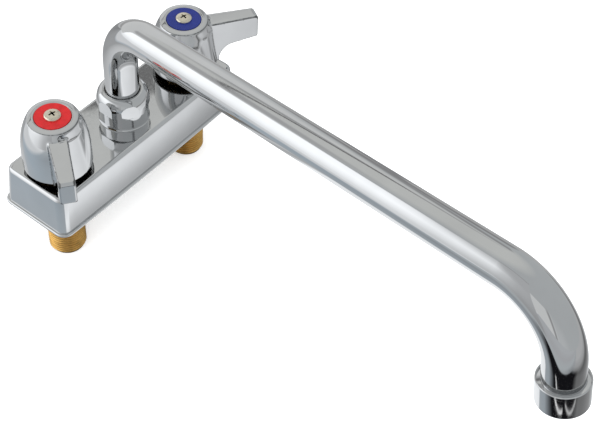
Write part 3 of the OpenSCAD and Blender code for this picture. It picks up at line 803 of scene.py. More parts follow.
def body_casting(size, shanks):
    """The long low casting with its bead, open underside, bosses and bores."""
    half_length = size.foot_length / 2
    half_width = size.foot_width / 2
    bm = bowed_block(half_length, half_width, size.draft, size.bow, size.corner, 0, size.height)
    bisect(bm, (0, 0, size.bead_height), (0, 0, 1))
    rim = [
        edge for edge in bm.edges
        if all(abs(vert.co.z - size.height) < CLOSE for vert in edge.verts)
        and any(abs(face.normal.z) < 0.5 for face in edge.link_faces)
    ]
    bevel(bm, rim, size.top_edge, 6)
    add_bead(bm, size.bead_height, size.bead_reach)
    piece = piece_from(bm, "faucet_casting")
    inner_length = half_length - size.draft - size.wall
    inner_width = half_width - size.draft - size.wall
    roof = size.height - size.top_plate
    combine(piece, bowed_block(inner_length, inner_width, 0, size.bow, size.corner * 0.7, -MM, roof))

    valve_boss = 13 * MM
    middle_boss = 12 * MM
    gallery = 7 * MM
    gallery_height = 13.5 * MM
    half_web = 3 * MM
    over_roof = roof + MM
    half_centres = size.valve_centres / 2
    along = Matrix.Translation((0, 0, gallery_height)) @ Matrix.Rotation(math.pi / 2, 4, "Y")
    web = block((-half_centres, -half_web, gallery_height), (half_centres, half_web, over_roof))
    combine(piece, moved(cylinder(gallery, -half_centres, half_centres), along), "UNION")
    combine(piece, web, "UNION")
    combine(piece, cylinder(middle_boss, 0, over_roof), "UNION")
    for side in (HOT, COLD):
        combine(piece, moved(cylinder(valve_boss, 0, over_roof), at_valve(side)), "UNION")

    gallery_bore = 4.5 * MM
    spout_bore = 6 * MM
    hub_bore = 9.05 * MM
    hub_foot = size.height - 7 * MM
    inlet_bore = 4 * MM
    valve_bore = 9.4 * MM
    valve_foot = 8 * MM
    spigot_bore = shanks.spigot / 2 + 0.05 * MM
    over_top = size.height + MM
    combine(piece, moved(cylinder(gallery_bore, -half_centres, half_centres, 48), along))
    combine(piece, cylinder(spout_bore, gallery_height - gallery_bore, over_top))
    combine(piece, cylinder(hub_bore, hub_foot, over_top))
    for side in (HOT, COLD):
        combine(piece, moved(cylinder(inlet_bore, -MM, over_top, 48), at_valve(side)))
        combine(piece, moved(cylinder(valve_bore, valve_foot, over_top), at_valve(side)))
        combine(piece, moved(cylinder(spigot_bore, -MM, shanks.spigot_depth), at_valve(side)))
    return piece


# Inlet shanks

def threaded_shank(size, side, name):
    """A turned tube with a chamfered end, and a thread wound round it."""
    outer = size.diameter / 2
    root = outer - size.thread_depth
    bore = size.bore / 2
    spigot = size.spigot / 2
    collar = spigot + 0.2 * MM
    bm = turned([
        (bore, -size.depth),
        (root - 0.2 * MM, -size.depth),
        (root, -size.depth + 0.5 * MM),
        (root, -2.4 * MM),
        (collar, -1.2 * MM),
        (collar, 0),
        (spigot, 0),
        (spigot, size.spigot_depth),
        (bore, size.spigot_depth),
    ])
    start = -size.depth + 0.3 * MM
    middle = start + size.pitch * 0.5
    half_crest = size.pitch * 0.1
    sunk = root - 0.15 * MM
    winding = drawn([
        (sunk, start),
        (outer, middle - half_crest),
        (outer, middle + half_crest),
        (sunk, start + size.pitch),
    ])
    steps = 40
    turns = int((size.depth - 3.4 * MM) / size.pitch)
    spin(winding, everything(winding), steps * turns, math.tau * turns, lift=size.pitch / steps)
    mend(winding)
    mesh = bpy.data.meshes.new("winding")
    winding.to_mesh(mesh)
    winding.free()
    bm.from_mesh(mesh)
    bpy.data.meshes.remove(mesh)
    return piece_from(moved(bm, at_valve(side)), name + "_threaded_shank")


# Spout seat

def seat_hub(size, body):
    """The round hub between the casting and the nut, with a soft fillet at its foot."""
    foot = body.height
    spigot = 9 * MM
    spigot_foot = foot - 7 * MM
    way = 6 * MM
    floor = foot + 2.3 * MM
    outer = size.hub_diameter / 2
    fillet_top = foot + 0.9 * MM
    nut_foot = foot + size.hub_height
    thread = 12.2 * MM
    thread_top = nut_foot + 5.6 * MM
    inner = size.tube_diameter / 2 + 0.1 * MM
    bm = turned([
        (way, spigot_foot),
        (spigot, spigot_foot),
        (spigot, foot),
        (outer + 0.5 * MM, foot),
        (outer, fillet_top),
        (outer, nut_foot),
        (thread, nut_foot),
        (thread, thread_top),
        (inner, thread_top),
        (inner, floor),
        (way, floor),
    ], steps=128)
    round_rings(bm, [(outer, fillet_top, 0.8 * MM), (outer, nut_foot, 0.5 * MM)], 4)
    return piece_from(bm, "seat_hub")


def spout_nut(size, body):
    """A domed ring whose sides are cut by six flats."""
    foot = body.height + size.hub_height
    top = foot + size.nut_height
    radius = size.nut_diameter / 2
    opening = size.nut_opening / 2
    thread = 12.25 * MM
    shoulder = 43.8 * MM
    crown = 4.4 * MM
    drop = 6.8 * MM
    bm = turned([
        (thread, foot),
        (radius - 0.2 * MM, foot),
        (radius - 0.05 * MM, foot + 0.15 * MM),
        *arc((radius - crown, top - drop), (crown, drop), 0, math.pi / 2, 12),
        (opening + 0.25 * MM, top - 0.1 * MM),
        (opening, top - 0.5 * MM),
        (opening, shoulder),
        (thread, shoulder),
    ], steps=192)
    for step in range(6):
        turn = size.nut_turn + step * math.pi / 3
        outward = Vector((math.cos(turn), math.sin(turn), 0))
        slice_off(bm, outward * size.nut_flats / 2, outward)
    face_out(bm)
    return piece_from(bm, "hexagon_spout_nut")


# Spout

def grow(bm, edges, vector, parts):
    """Extrudes a ring of edges straight on in equal parts, and returns its last ring."""
    for part in range(parts):
        made = bmesh.ops.extrude_edge_only(bm, edges=edges)["geom"]
        verts = of_kind(made, bmesh.types.BMVert)
        bmesh.ops.translate(bm, vec=vector / parts, verts=verts)
        known = set(verts)
        edges = [
            edge for edge in of_kind(made, bmesh.types.BMEdge)
            if all(vert in known for vert in edge.verts)
        ]
    return edges


def bend(bm, edges, centre, turn):
    """Carries a ring of edges round a bend in the XZ plane, and returns its last ring."""
    verts = list(set(vert for edge in edges for vert in edge.verts))
    last = spin(bm, verts + edges, 24, turn, centre, (0, 1, 0))
    return of_kind(last, bmesh.types.BMEdge)


def arm_end(size):
    """Where the arm's axis meets the outlet's, in the spout's XZ plane."""
    return Vector((size.arm_reach, 0, size.arm_height + size.arm_reach * math.tan(size.arm_rise)))


def outlet_frame(size):
    """Places a shape that stands on +Z down along the outlet's axis."""
    tilt = Matrix.Rotation(math.pi - size.outlet_lean, 4, "Y")
    return Matrix.Rotation(size.arm_turn, 4, "Z") @ Matrix.Translation(arm_end(size)) @ tilt


def bent_tube(size):
    """One tube, drawn as a ring of edges that goes straight, bends, and goes straight again."""
    rise = size.arm_rise
    lean = size.outlet_lean
    first_turn = math.pi / 2 - rise
    last_turn = math.pi / 2 + rise - lean
    first_tangent = size.first_bend * math.tan(first_turn / 2)
    last_tangent = size.last_bend * math.tan(last_turn / 2)
    along = Vector((math.cos(rise), 0, math.sin(rise)))
    across = Vector((math.sin(rise), 0, -math.cos(rise)))
    down = Vector((math.sin(lean), 0, -math.cos(lean)))
    end = arm_end(size)
    foot = 42.7 * MM
    riser_top = size.arm_height - first_tangent
    span = (end - Vector((0, 0, size.arm_height))).length - first_tangent - last_tangent
    outlet = 46 * MM - last_tangent
    bm = bmesh.new()
    made = bmesh.ops.create_circle(bm, cap_ends=False, segments=72, radius=size.tube_diameter / 2)
    bmesh.ops.translate(bm, vec=(0, 0, foot), verts=made["verts"])
    edges = grow(bm, bm.edges[:], Vector((0, 0, riser_top - foot)), 3)
    edges = bend(bm, edges, (size.first_bend, 0, riser_top), first_turn)
    edges = grow(bm, edges, along * span, 12)
    edges = bend(bm, edges, end - along * last_tangent + across * size.last_bend, last_turn)
    grow(bm, edges, down * outlet, 2)
    mend(bm)
    piece = piece_from(moved(bm, Matrix.Rotation(size.arm_turn, 4, "Z")), "bent_spout_tube")
    modify(piece, "SOLIDIFY", thickness=size.tube_wall, offset=-1)
    return piece


def aerator_housing(size):
    """The collar at the outlet: a bevelled rim over a ring recess, and a rounded foot."""
    outer = size.housing_diameter / 2
    rim = outer - 0.3 * MM
    start = size.housing_start
    rim_end = start + 0.35 * MM
    end = start + size.housing_length
    bore = size.tube_diameter / 2 + 0.05 * MM
    recess = 11.15 * MM
    opening = size.outlet_opening / 2
    lip = end - 1.2 * MM
    bm = turned([
        (bore, start + 0.9 * MM),
        (recess, start + 1.15 * MM),
        (recess, start + 0.1 * MM),
        (rim, start),
        (outer, rim_end),
        (outer, end),
        (opening, end),
        (opening, lip),
        (bore, lip),
    ], steps=144)
    round_rings(bm, [(outer, end, 1.2 * MM)], 6)
    round_rings(bm, [(rim, start, 0.1 * MM), (outer, rim_end, 0.15 * MM)], 3)
    return piece_from(moved(bm, outlet_frame(size)), "aerator_collar")


# Handles

def handle_top(size):
    return size.rim_height + size.height


def bell_shoulder(size):
    """The height at which the bell meets the cap's rounded edge."""
    return handle_top(size) - size.cap_crown - size.cap_edge


def handle_bell(size):
    """The bell from its rim to its cap, filled."""
    rim = size.rim_diameter / 2
    cap = size.cap_diameter / 2
    shoulder = bell_shoulder(size)
    top = handle_top(size)
    outline = [(0, size.rim_height)]
    steps = 24
    for step in range(steps + 1):
        part = step / steps
        radius = rim - (rim - cap) * part ** size.bell_curve
        outline.append((radius, size.rim_height + part * (shoulder - size.rim_height)))
    outline += [
        (cap - size.cap_edge * 0.3, shoulder + size.cap_edge * 0.7),
        (cap - size.cap_edge, shoulder + size.cap_edge),
        (size.index_diameter / 2 + 1.4 * MM, top),
        (0, top),
    ]
    return turned(outline, closed=False, steps=144)


def thumb_scoop(size):
    """The cut beside the lever: a steep face over a ledge, then a flute that spreads to the rim."""
    rim = size.rim_diameter / 2
    below = size.rim_height - MM
    shoulder = bell_shoulder(size)
    ledge = handle_top(size) - size.ledge_depth
    flute_top = ledge - 0.2 * MM
    flute_start = size.ledge_radius + 0.4 * MM
    outline = [(2 * rim, shoulder), (size.cap_diameter / 2, shoulder), (size.ledge_radius, ledge)]
    steps = 16
    for step in range(steps + 1):
        part = step / steps
        radius = flute_start + (rim - flute_start) * part ** 1.4
        outline.append((radius, flute_top - part * (flute_top - size.rim_height)))
    bm = drawn(outline + [(rim, below), (2 * rim, below)])
    spin(bm, everything(bm), 44, math.radians(110))
    mend(bm)
    lean = Matrix.Rotation(size.scoop_span, 3, "Z") @ Matrix.Rotation(-size.scoop_lean, 3, "X")
    slice_off(bm, (0, 0, (ledge + size.rim_height) / 2), lean @ Vector((0, 1, 0)))
    face_out(bm)
    return bm


def lever_blade(size):
    """The lever: its side outline drawn across, narrowed to its end, and its edges rounded."""
    inner = 8 * MM
    root = size.ledge_radius
    root_top = handle_top(size) - size.lever_drop
    end_top = root_top - size.lever_fall
    nose = size.lever_nose
    nose_foot = end_top - nose
    fillet = size.lever_fillet
    fillet_start = size.rim_diameter / 2 + 0.8 * MM
    fillet_centre = (fillet_start + fillet, size.rim_height + 1.5 * MM)
    bm = drawn([
        (inner, size.rim_height + 4 * MM),
        (fillet_start, size.rim_height),
        *arc(fillet_centre, (fillet, fillet), math.pi, math.pi / 2, 12),
        (size.lever_reach, end_top - size.lever_depth),
        *arc((size.lever_reach - nose, nose_foot), (nose, nose), 0, math.pi / 2, 6),
        (root, root_top),
        (inner, root_top),
    ])
    bmesh.ops.translate(bm, vec=(0, -size.lever_root / 2, 0), verts=bm.verts)
    made = bmesh.ops.extrude_face_region(bm, geom=bm.faces[:])
    far = of_kind(made["geom"], bmesh.types.BMVert)
    bmesh.ops.translate(bm, vec=(0, size.lever_root, 0), verts=far)
    for vert in bm.verts:
        part = max(0, (vert.co.x - root) / (size.lever_reach - root))
        narrow = 1 + (size.lever_end / size.lever_root - 1) * part
        bmesh.ops.scale(bm, vec=(1, narrow, 1), verts=[vert])
    face_out(bm)
    along = [edge for edge in bm.edges if abs(edge.verts[0].co.y - edge.verts[1].co.y) < MM]
    upper = [
        edge for edge in along
        if all(vert.co.z > nose_foot - CLOSE for vert in edge.verts)
        and any(abs(vert.co.x - inner) > CLOSE for vert in edge.verts)
    ]
    ends = [
        edge for edge in bm.edges
        if edge not in upper
        and all(
            abs(vert.co.x - size.lever_reach) < CLOSE and vert.co.z < nose_foot + CLOSE
            for vert in edge.verts
        )
        and not all(vert.co.z > nose_foot - CLOSE for vert in edge.verts)
    ]
    lower = [
        edge for edge in along
        if edge not in upper + ends
        and all(vert.co.z < end_top - MM and vert.co.x > fillet_start - MM for vert in edge.verts)
    ]
    bevel(bm, upper + ends, 1.1 * MM, 5)
    bevel(bm, [edge for edge in lower if edge.is_valid], 0.7 * MM, 3)
    face_out(bm)
    return bm


def handle_hollow(size):
    """The room in the skirt, round the boss that takes the stem."""
    foot = size.rim_height
    top = handle_top(size) - 9 * MM
    skirt = size.rim_diameter / 2 - 2.7 * MM
    inner = size.cap_diameter / 2 - 1.35 * MM
    boss = 7 * MM
    boss_foot = 38 * MM
    return turned([
        (0, foot - MM),
        (skirt, foot - MM),
        (skirt, foot + 3.5 * MM),
        (inner, top - 2.5 * MM),
        (inner, top),
        (boss, top),
        (boss, boss_foot),
        (0, boss_foot),
    ], closed=False)


def scoop_edge(bm, size):
    """The vertices along the scoop's far edge, which the casting's skin leaves uneven."""
    low = size.rim_height + 1.2 * MM
    high = handle_top(size) - 2 * MM
    ledge = handle_top(size) - size.ledge_depth - 1.5 * MM
    # The strip's starts beside the flute and the face, and its end, in degrees from the scoop's span
    flute_start = -24
    face_start = -4
    strip_end = 44
    found = []
    for vert in bm.verts:
        turn = math.degrees(math.atan2(vert.co.y, vert.co.x) - size.scoop_span)
        start = flute_start if vert.co.z < ledge else face_start
        if low < vert.co.z < high and start < turn < strip_end:
            found.append(vert)
    return found


def handle_shape(size):
    """A handle about Z with its lever along +X and its scoop toward +Y."""
    top = handle_top(size)
    over_top = top + MM
    under_boss = 36 * MM
    index_seat = cylinder(size.index_diameter / 2 + 0.05 * MM, top - size.index_thickness, over_top)
    stem_socket = cylinder(3.8 * MM, under_boss, 50.2 * MM, 12)
    piece = piece_from(handle_bell(size), "handle")
    combine(piece, thumb_scoop(size))
    combine(piece, lever_blade(size), "UNION")
    combine(piece, handle_hollow(size))
    combine(piece, index_seat)
    combine(piece, stem_socket)
    combine(piece, cylinder(SCREW_HOLE, under_boss, over_top, 32))
    modify(piece, "REMESH", mode="VOXEL", voxel_size=0.36 * MM, use_smooth_shade=True)
    bm = mesh_of(piece)
    soften(bm, bm.verts, 8)
    soften(bm, scoop_edge(bm, size), 80)
    layer = measure_turn(bm)
    nearly_flat = 0.05
    soften(bm, [vert for vert in bm.verts if vert[layer] < nearly_flat], 10)
    bm.to_mesh(piece.data)
    bm.free()
    return piece


def index_disc(size, side, name):
    """A thin disc with a slightly raised rim, sunk in the handle's cap."""
    top = handle_top(size)
    foot = top - size.index_thickness
    face = top - 0.06 * MM
    outer = size.index_diameter / 2
    bm = turned([
        (SCREW_HOLE, foot),
        (outer, foot),
        (outer, top),
        (outer - 0.5 * MM, top + 0.04 * MM),
        (outer - 1.0 * MM, face),
        (SCREW_HOLE, face),
    ], steps=128)
    round_rings(bm, [(outer, top, 0.15 * MM)], 3)
    return piece_from(moved(bm, at_valve(side)), name + "_index_disc")


def handle_screw(size, side, name):
    """A screw with a low domed head and a cross recess."""
    top = handle_top(size)
    head = size.screw_head / 2
    edge = 0.6 * MM
    shaft = 2 * MM
    shaft_foot = 40 * MM
    dome = arc((0, top + edge), (head, size.screw_rise - edge), 0, math.pi / 2, 8)
    outline = [(0, shaft_foot), (shaft, shaft_foot), (shaft, top), (head, top)] + dome
    piece = piece_from(turned(outline, closed=False, steps=72), name + "_cap_screw")
    reach = 2.6 * MM
    half_width = 0.5 * MM
    slot_foot = top + size.screw_rise - 2.2 * MM
    for degrees in (-11, 79):
        slot = block((-reach, -half_width, 0), (reach, half_width, 3 * MM))
        lower = [vert for vert in slot.verts if vert.co.z < MM]
        bmesh.ops.scale(slot, vec=(0.35, 0.6, 1), verts=lower)
        turn = Matrix.Rotation(math.radians(degrees), 4, "Z")
        combine(piece, moved(slot, Matrix.Translation((0, 0, slot_foot)) @ turn))
    piece.data.transform(at_valve(side))
    return piece


# Operators, one for each piece or group of like pieces

class FAUCET_OT_body(bpy.types.Operator):
    """Make the chrome plated body casting"""

    bl_idname = "faucet.body"
    bl_label = "Body casting"

    def execute(self, context):
        piece = body_casting(context.scene.faucet_body, context.scene.faucet_shanks)
        finish = chrome_finish("cast_plate", 0.06 * MM, 45)
        finish_piece(piece, finish, "faucet_body", ["body"], 40)
        return {"FINISHED"}


class FAUCET_OT_shanks(bpy.types.Operator):
    """Make the two threaded brass shanks"""

    bl_idname = "faucet.shanks"
    bl_label = "Inlet shanks"

    def execute(self, context):
        size = context.scene.faucet_shanks
        root = size.diameter / 2 - size.thread_depth
        finish = brass_finish("threaded_brass", tuple(finishes().brass), 0.3, root)
        for side, name in SIDES:
            piece = threaded_shank(size, side, name)
            finish_piece(piece, finish, "faucet_body", [name + "_shank"], 30)
        return {"FINISHED"}


class FAUCET_OT_seat(bpy.types.Operator):
    """Make the hub and the nut that hold the spout"""

    bl_idname = "faucet.seat"
    bl_label = "Spout seat"

    def execute(self, context):
        sizes = (context.scene.faucet_spout, context.scene.faucet_body)
        finish = turned_plate()
        finish_piece(seat_hub(*sizes), finish, "faucet_body", ["spout_hub"])
        finish_piece(spout_nut(*sizes), finish, "faucet_body", ["spout_nut"], 32)
        return {"FINISHED"}


class FAUCET_OT_spout(bpy.types.Operator):
    """Make the bent tube and the collar at its outlet"""

    bl_idname = "faucet.spout"
    bl_label = "Spout"

    def execute(self, context):
        size = context.scene.faucet_spout
        tube = bent_tube(size)
        finish = chrome_finish("tube_plate", 0.02 * MM, 30)
        finish_piece(tube, finish, "spout", ["spout_tube"])
        collar = aerator_housing(size)
        finish_piece(collar, turned_plate(), "spout", ["aerator_housing"])
        return {"FINISHED"}


class FAUCET_OT_handles(bpy.types.Operator):
    """Make the two lever handles, a mirrored pair"""

    bl_idname = "faucet.handles"
    bl_label = "Handles"

    def execute(self, context):
        size = context.scene.faucet_handles
        shape = handle_shape(size)
        finish = handle_finish("handle_plate")
        for side, name in SIDES:
            turn = size.hot_turn if side == HOT else size.cold_turn
            place = at_valve(side) @ Matrix.Rotation(turn, 4, "Z")
            if side == COLD:
                place = place @ Matrix.Diagonal((1, -1, 1, 1))
            bm = moved(mesh_of(shape), place)
            face_out(bm)
            piece = piece_from(bm, name + "_lever_handle")
            nodes = [name + "_handle"]
            finish_piece(piece, finish, name + "_lever", nodes, 80, False)
        discard(shape)
        return {"FINISHED"}


class FAUCET_OT_indexes(bpy.types.Operator):
    """Make the red and blue index discs, left bare"""

    bl_idname = "faucet.indexes"
    bl_label = "Index discs"

    def execute(self, context):
        look = finishes()
        for side, name in SIDES:
            slot = name + "_index_plastic"
            finish = index_finish(slot, tuple(look.hot_index if side == HOT else look.cold_index))
            piece = index_disc(context.scene.faucet_handles, side, name)
            finish_piece(piece, finish, name + "_lever", [name + "_index"])
        return {"FINISHED"}


class FAUCET_OT_screws(bpy.types.Operator):
    """Make the two handle screws"""

    bl_idname = "faucet.screws"
    bl_label = "Handle screws"

    def execute(self, context):
        size = context.scene.faucet_handles
        finish = nickel_finish("nickel_screw", handle_top(size) + size.screw_rise)
        for side, name in SIDES:
            piece = handle_screw(size, side, name)
            finish_piece(piece, finish, name + "_lever", [name + "_handle_screw"])
        return {"FINISHED"}


class FAUCET_OT_inner_pieces(bpy.types.Operator):
    """Give the pieces inside the faucet their finishes"""

    bl_idname = "faucet.inner_pieces"
    bl_label = "Inner pieces"

    def execute(self, context):
        look = finishes()
        kinds = {
            # The inner pieces get the darker brass: dull oxidised brass with painted shade.
            "brass": brass_finish("turned_brass", tuple(look.shaded_inner_brass), 0.45),
            "rubber": soft_finish("rubber", tuple(look.rubber), 0.55, 0.75, 1500, 0.03 * MM),
            "ceramic": soft_finish("ceramic", tuple(look.ceramic), 0.12, 0.22, 2500, 0.004 * MM),
            "slip_plastic": soft_finish(
                "slip_plastic", tuple(look.plastic), 0.4, 0.55, 1200, 0.015 * MM
            ),
            "steel_screen": steel_finish("steel_screen"),
        }
        for part in frame["record"]["subparts"]:
            finish = kinds.get(part["material_slot"])
            if finish:
                node = frame["nodes"][part["node"]]
                node.data.materials.clear()
                node.data.materials.append(finish)
        return {"FINISHED"}


class FAUCET_OT_stage(bpy.types.Operator):
    """Set the floor, the lights, the room and the camera"""

    bl_idname = "faucet.stage"
    bl_label = "Stage"

    def execute(self, context):
        look = context.scene.faucet_stage
        make_floor(look)
        make_table()
        make_panel()
        make_rail()
        make_lights(look)
        make_room(look)
        make_camera()
        context.scene.view_settings.view_transform = "Standard"
        return {"FINISHED"}


# Stage

def stage_piece(bm, name, material):
    piece = piece_from(bm, name)
    piece.data.materials.append(material)
    return piece


def level_square(half, height):
    bm = bmesh.new()
    bmesh.ops.create_grid(bm, x_segments=1, y_segments=1, size=half)
    bmesh.ops.translate(bm, vec=(0, 0, height), verts=bm.verts)
    return bm


def mirrored_piece(bm, name, strength, shade_of):
    """A surface for the mirror images in the plate alone, which glows alike whatever lights it."""
    material, tree, shader, place = new_material(name)
    material.cycles.emission_sampling = "NONE"
    put(tree, shader, {
        "Base Color": (0, 0, 0, 1),
        "Roughness": 1,
        "Specular IOR Level": 0,
        "Emission Strength": strength,
        "Emission Color": shade_of(tree, place),
    })
    piece = stage_piece(bm, name, material)
    piece.visible_camera = False
    piece.visible_diffuse = False
    piece.visible_transmission = False
    piece.visible_volume_scatter = False
    piece.visible_shadow = False


def shades_along(tree, value, reach, stops):
    """Colours by distance in metres, from stops given as a distance and a colour."""
    ramp = add_node(tree, "ValToRGB", {"Fac": past(tree, value, -reach, reach)})
    fill_ramp(ramp, [(0.5 + 0.5 * distance / reach, shade) for distance, shade in stops])
    return ramp.outputs["Color"]


def greys_along(tree, value, reach, stops):
    """Cool greys by distance in metres, from stops given as a distance and a brightness."""
    shaded = [(distance, (level, level * 1.01, level * 1.02)) for distance, level in stops]
    return shades_along(tree, value, reach, shaded)


def beyond(tree, place, direction, start, end):
    """A mask that goes from 0 to 1 along a direction."""
    product = add_node(tree, "VectorMath", {0: place, 1: direction}, operation="DOT_PRODUCT")
    return past(tree, product.outputs["Value"], start, end)


def stripe(tree, place, across, middle, half, blur):
    """A mask over the table that is 1 along a straight stripe."""
    return all_of(
        tree,
        beyond(tree, place, across, middle - half - blur, middle - half + blur),
        beyond(tree, place, across, middle + half + blur, middle + half - blur),
    )


def patched(tree, shade, patches):
    """A shade with others laid over it in their order, each where its mask is 1."""
    for mask, patch in patches:
        shade = over(tree, shade, mask, patch)
    return shade


def make_floor(look):
    """A wide pale floor under the ends of the shanks."""
    material, tree, shader, place = new_material("floor")
    tint = tuple(look.floor)
    put(tree, shader, {
        "Base Color": shades(tree, noise(tree, place, 3, 2), darker(tint, 0.985), tint),
        "Roughness": 0.9,
        "Specular IOR Level": 0,
        "Emission Color": (1, 1, 1, 1),
        "Emission Strength": look.floor_glow,
    })
    floor = stage_piece(level_square(6, CAD_BOX[0][2] - 0.2 * MM), "floor", material)
    floor.visible_glossy = False


def table_shade(tree, place):
    """The table's greys, with a white sheet that ends beside the faucet, a painted shadow of the body on
    that sheet, and a few thin lines.
    """
    parts = split(tree, place)

    def rightward(start, end):
        return past(tree, parts["X"], start, end)

    def backward(start, end):
        return past(tree, parts["Y"], start, end)

    far = shades_along(tree, parts["X"], 1.2, [
        (-0.90, (0.29, 0.30, 0.31)), (-0.45, (0.27, 0.275, 0.285)), (-0.28, (0.28, 0.30, 0.31)),
        (-0.20, (0.20, 0.215, 0.23)), (-0.13, (0.23, 0.255, 0.275)), (0.00, (0.28, 0.29, 0.30)),
        (0.20, (0.35, 0.355, 0.36)), (0.28, (0.25, 0.255, 0.26)), (0.45, (0.28, 0.28, 0.28)),
        (1.20, (0.28, 0.28, 0.28)),
    ])
    back = shades_along(tree, parts["X"], 1.2, [
        (-0.30, (0.25, 0.29, 0.325)), (-0.14, (0.26, 0.30, 0.335)), (-0.05, (0.32, 0.33, 0.34)),
        (0.10, (0.38, 0.385, 0.39)), (0.25, (0.32, 0.325, 0.33)), (0.38, (0.20, 0.20, 0.20)),
        (0.60, (0.28, 0.28, 0.28)), (0.82, (0.16, 0.16, 0.16)), (0.95, (0.28, 0.28, 0.28)),
    ])
    light = shades_along(tree, parts["X"], 0.5, [
        (-0.45, (0.51, 0.52, 0.53)), (-0.35, (0.50, 0.51, 0.52)),
        (-0.28, (0.44, 0.45, 0.46)), (0.0, (0.45, 0.455, 0.465)),
    ])
    left_back = all_of(
        tree,
        beyond(tree, place, (-1.1, 1, 0), 0.27, 0.335),
        rightward(-0.09, -0.11),
        backward(-0.12, -0.02),
    )
    front = all_of(tree, backward(-0.33, -0.40), rightward(-0.30, -0.12))
    front_greys = greys_along(tree, parts["Y"], 1.0, [
        (-1.0, 0.30), (-0.70, 0.24), (-0.56, 0.08), (-0.48, 0.12), (-0.40, 0.19), (-0.34, 0.27),
    ])
    sheet = all_of(tree, rightward(-0.094, -0.088), rightward(0.21, 0.17), backward(-0.34, -0.32))
    # Painted shadow: the sheet darkens beside and under the body, and the plate mirrors this as shade at
    # the walls' foot.
    paper_with_painted_shadow = greys_along(tree, parts["Y"], 0.4, [
        (-0.30, 0.55), (-0.20, 0.60), (-0.15, 0.57), (-0.10, 0.56), (-0.086, 0.58),
        (-0.078, 0.63), (-0.073, 0.58), (-0.068, 0.46), (-0.064, 0.39), (-0.060, 0.32),
        (-0.050, 0.27), (-0.040, 0.33), (-0.030, 0.42), (-0.015, 0.14), (0.015, 0.12),
        (0.035, 0.30), (0.055, 0.40), (0.10, 0.34), (0.15, 0.24),
    ])
    fall = greys_along(tree, parts["X"], 0.4, [
        (-0.05, 1.0), (0.0, 0.93), (0.05, 0.84), (0.11, 0.70), (0.2, 0.72),
    ])
    aslant = (0.958, 0.287, 0)
    dark = all_of(
        tree,
        beyond(tree, place, aslant, -0.365, -0.350),
        beyond(tree, place, aslant, -0.205, -0.262),
        backward(-0.18, -0.23),
        backward(-0.62, -0.55),
    )
    left_line = all_of(
        tree,
        stripe(tree, place, (0.986, 0.166, 0), -0.252, 0.002, 0.001),
        backward(-0.28, -0.29),
        backward(-0.40, -0.39),
    )
    right_line = all_of(
        tree,
        stripe(tree, place, (0.64, 0.77, 0), -0.444, 0.0025, 0.001),
        rightward(-0.09, -0.10),
        rightward(-0.19, -0.18),
    )
    side_strip = all_of(
        tree,
        stripe(tree, place, (-0.39, 0.92, 0), -0.1525, 0.04, 0.0125),
        rightward(0.14, 0.24),
    )
    return patched(tree, far, (
        (backward(-0.1, 0.08), back),
        (left_back, light),
        (front, front_greys),
        (sheet, over(tree, paper_with_painted_shadow, 1, fall, "MULTIPLY")),
        (dark, (0.005, 0.005, 0.006)),
        (left_line, (0.66, 0.66, 0.66)),
        (right_line, (0.37, 0.37, 0.37)),
        (side_strip, (0.16, 0.16, 0.165)),
    ))


def make_table():
    """The table as the plate mirrors it."""
    mirrored_piece(level_square(6, CAD_BOX[0][2] - 0.1 * MM), "table", 2, table_shade)


def panel_shade(tree, place):
    """White that is softer toward the panel's foot and toward its front edge."""
    parts = split(tree, place)
    rise = greys_along(tree, parts["Z"], 0.7, [
        (-0.04, 0.60), (0.03, 0.63), (0.09, 0.71), (0.15, 0.76),
        (0.21, 0.79), (0.28, 0.81), (0.60, 0.81), (0.66, 0.62),
    ])
    lean = spread(tree, parts["Z"], 0, -0.42, 0.27, 0.69)
    fade = greys_along(tree, calculate(tree, "ADD", parts["Y"], lean), 0.4, [
        (-0.25, 0.36), (-0.15, 0.40), (-0.05, 0.54), (0.05, 0.80), (0.15, 0.94), (0.25, 1.0),
    ])
    return over(tree, rise, 1, fade, "MULTIPLY")


def make_panel():
    """A great white panel that stands to the left of the faucet."""
    foot = CAD_BOX[0][2]
    top = 0.69
    size = Matrix.Diagonal((1, 1.85, top - foot, 1))
    place = Matrix.Translation((-0.37, 0.675, (top + foot) / 2))
    upright = place @ size @ Matrix.Rotation(math.pi / 2, 4, "Y")
    mirrored_piece(moved(level_square(0.5, 0), upright), "panel", 2, panel_shade)


def make_rail():
    """A dark rail under the ceiling, which the plate mirrors as a thin line along the arm."""
    low = Vector((-0.888, 0.46, 0.02))
    turn = low.to_track_quat("-Z", "Y").to_matrix().to_4x4()
    bm = cylinder(0.006, -1.3, 0.56, 12, 0.048)
    moved(bm, Matrix.Translation((0.757, 1.274, 1.432)) @ turn)
    mirrored_piece(bm, "rail", 1, lambda tree, place: (0.22, 0.22, 0.22, 1))


def soft_light(name, place, aim, side, power):
    """A square light that brightens matt surfaces and doesn't mirror in the plate."""
    data = bpy.data.lights.new(name, "AREA")
    data.shape = "RECTANGLE"
    data.size = side
    data.size_y = side
    data.energy = power
    light = bpy.data.objects.new(name, data)
    bpy.context.scene.collection.objects.link(light)
    light.location = place
    light.rotation_euler = (Vector(aim) - Vector(place)).to_track_quat("-Z", "Y").to_euler()
    light.visible_glossy = False


def make_lights(look):
    middle = (0, -0.1, 0.05)
    soft_light("overhead", (-0.3, -0.3, 1.8), middle, 2.4, 45 * look.lights)
    soft_light("front", (-1.2, -1.4, 1.2), middle, 1.4, 18 * look.lights)


def heading(azimuth, elevation):
    """The direction at an azimuth from the front toward +X, and an elevation, in degrees."""
    turn = math.radians(azimuth)
    lift = math.radians(elevation)
    level = math.cos(lift)
    return (math.sin(turn) * level, -math.cos(turn) * level, math.sin(lift))


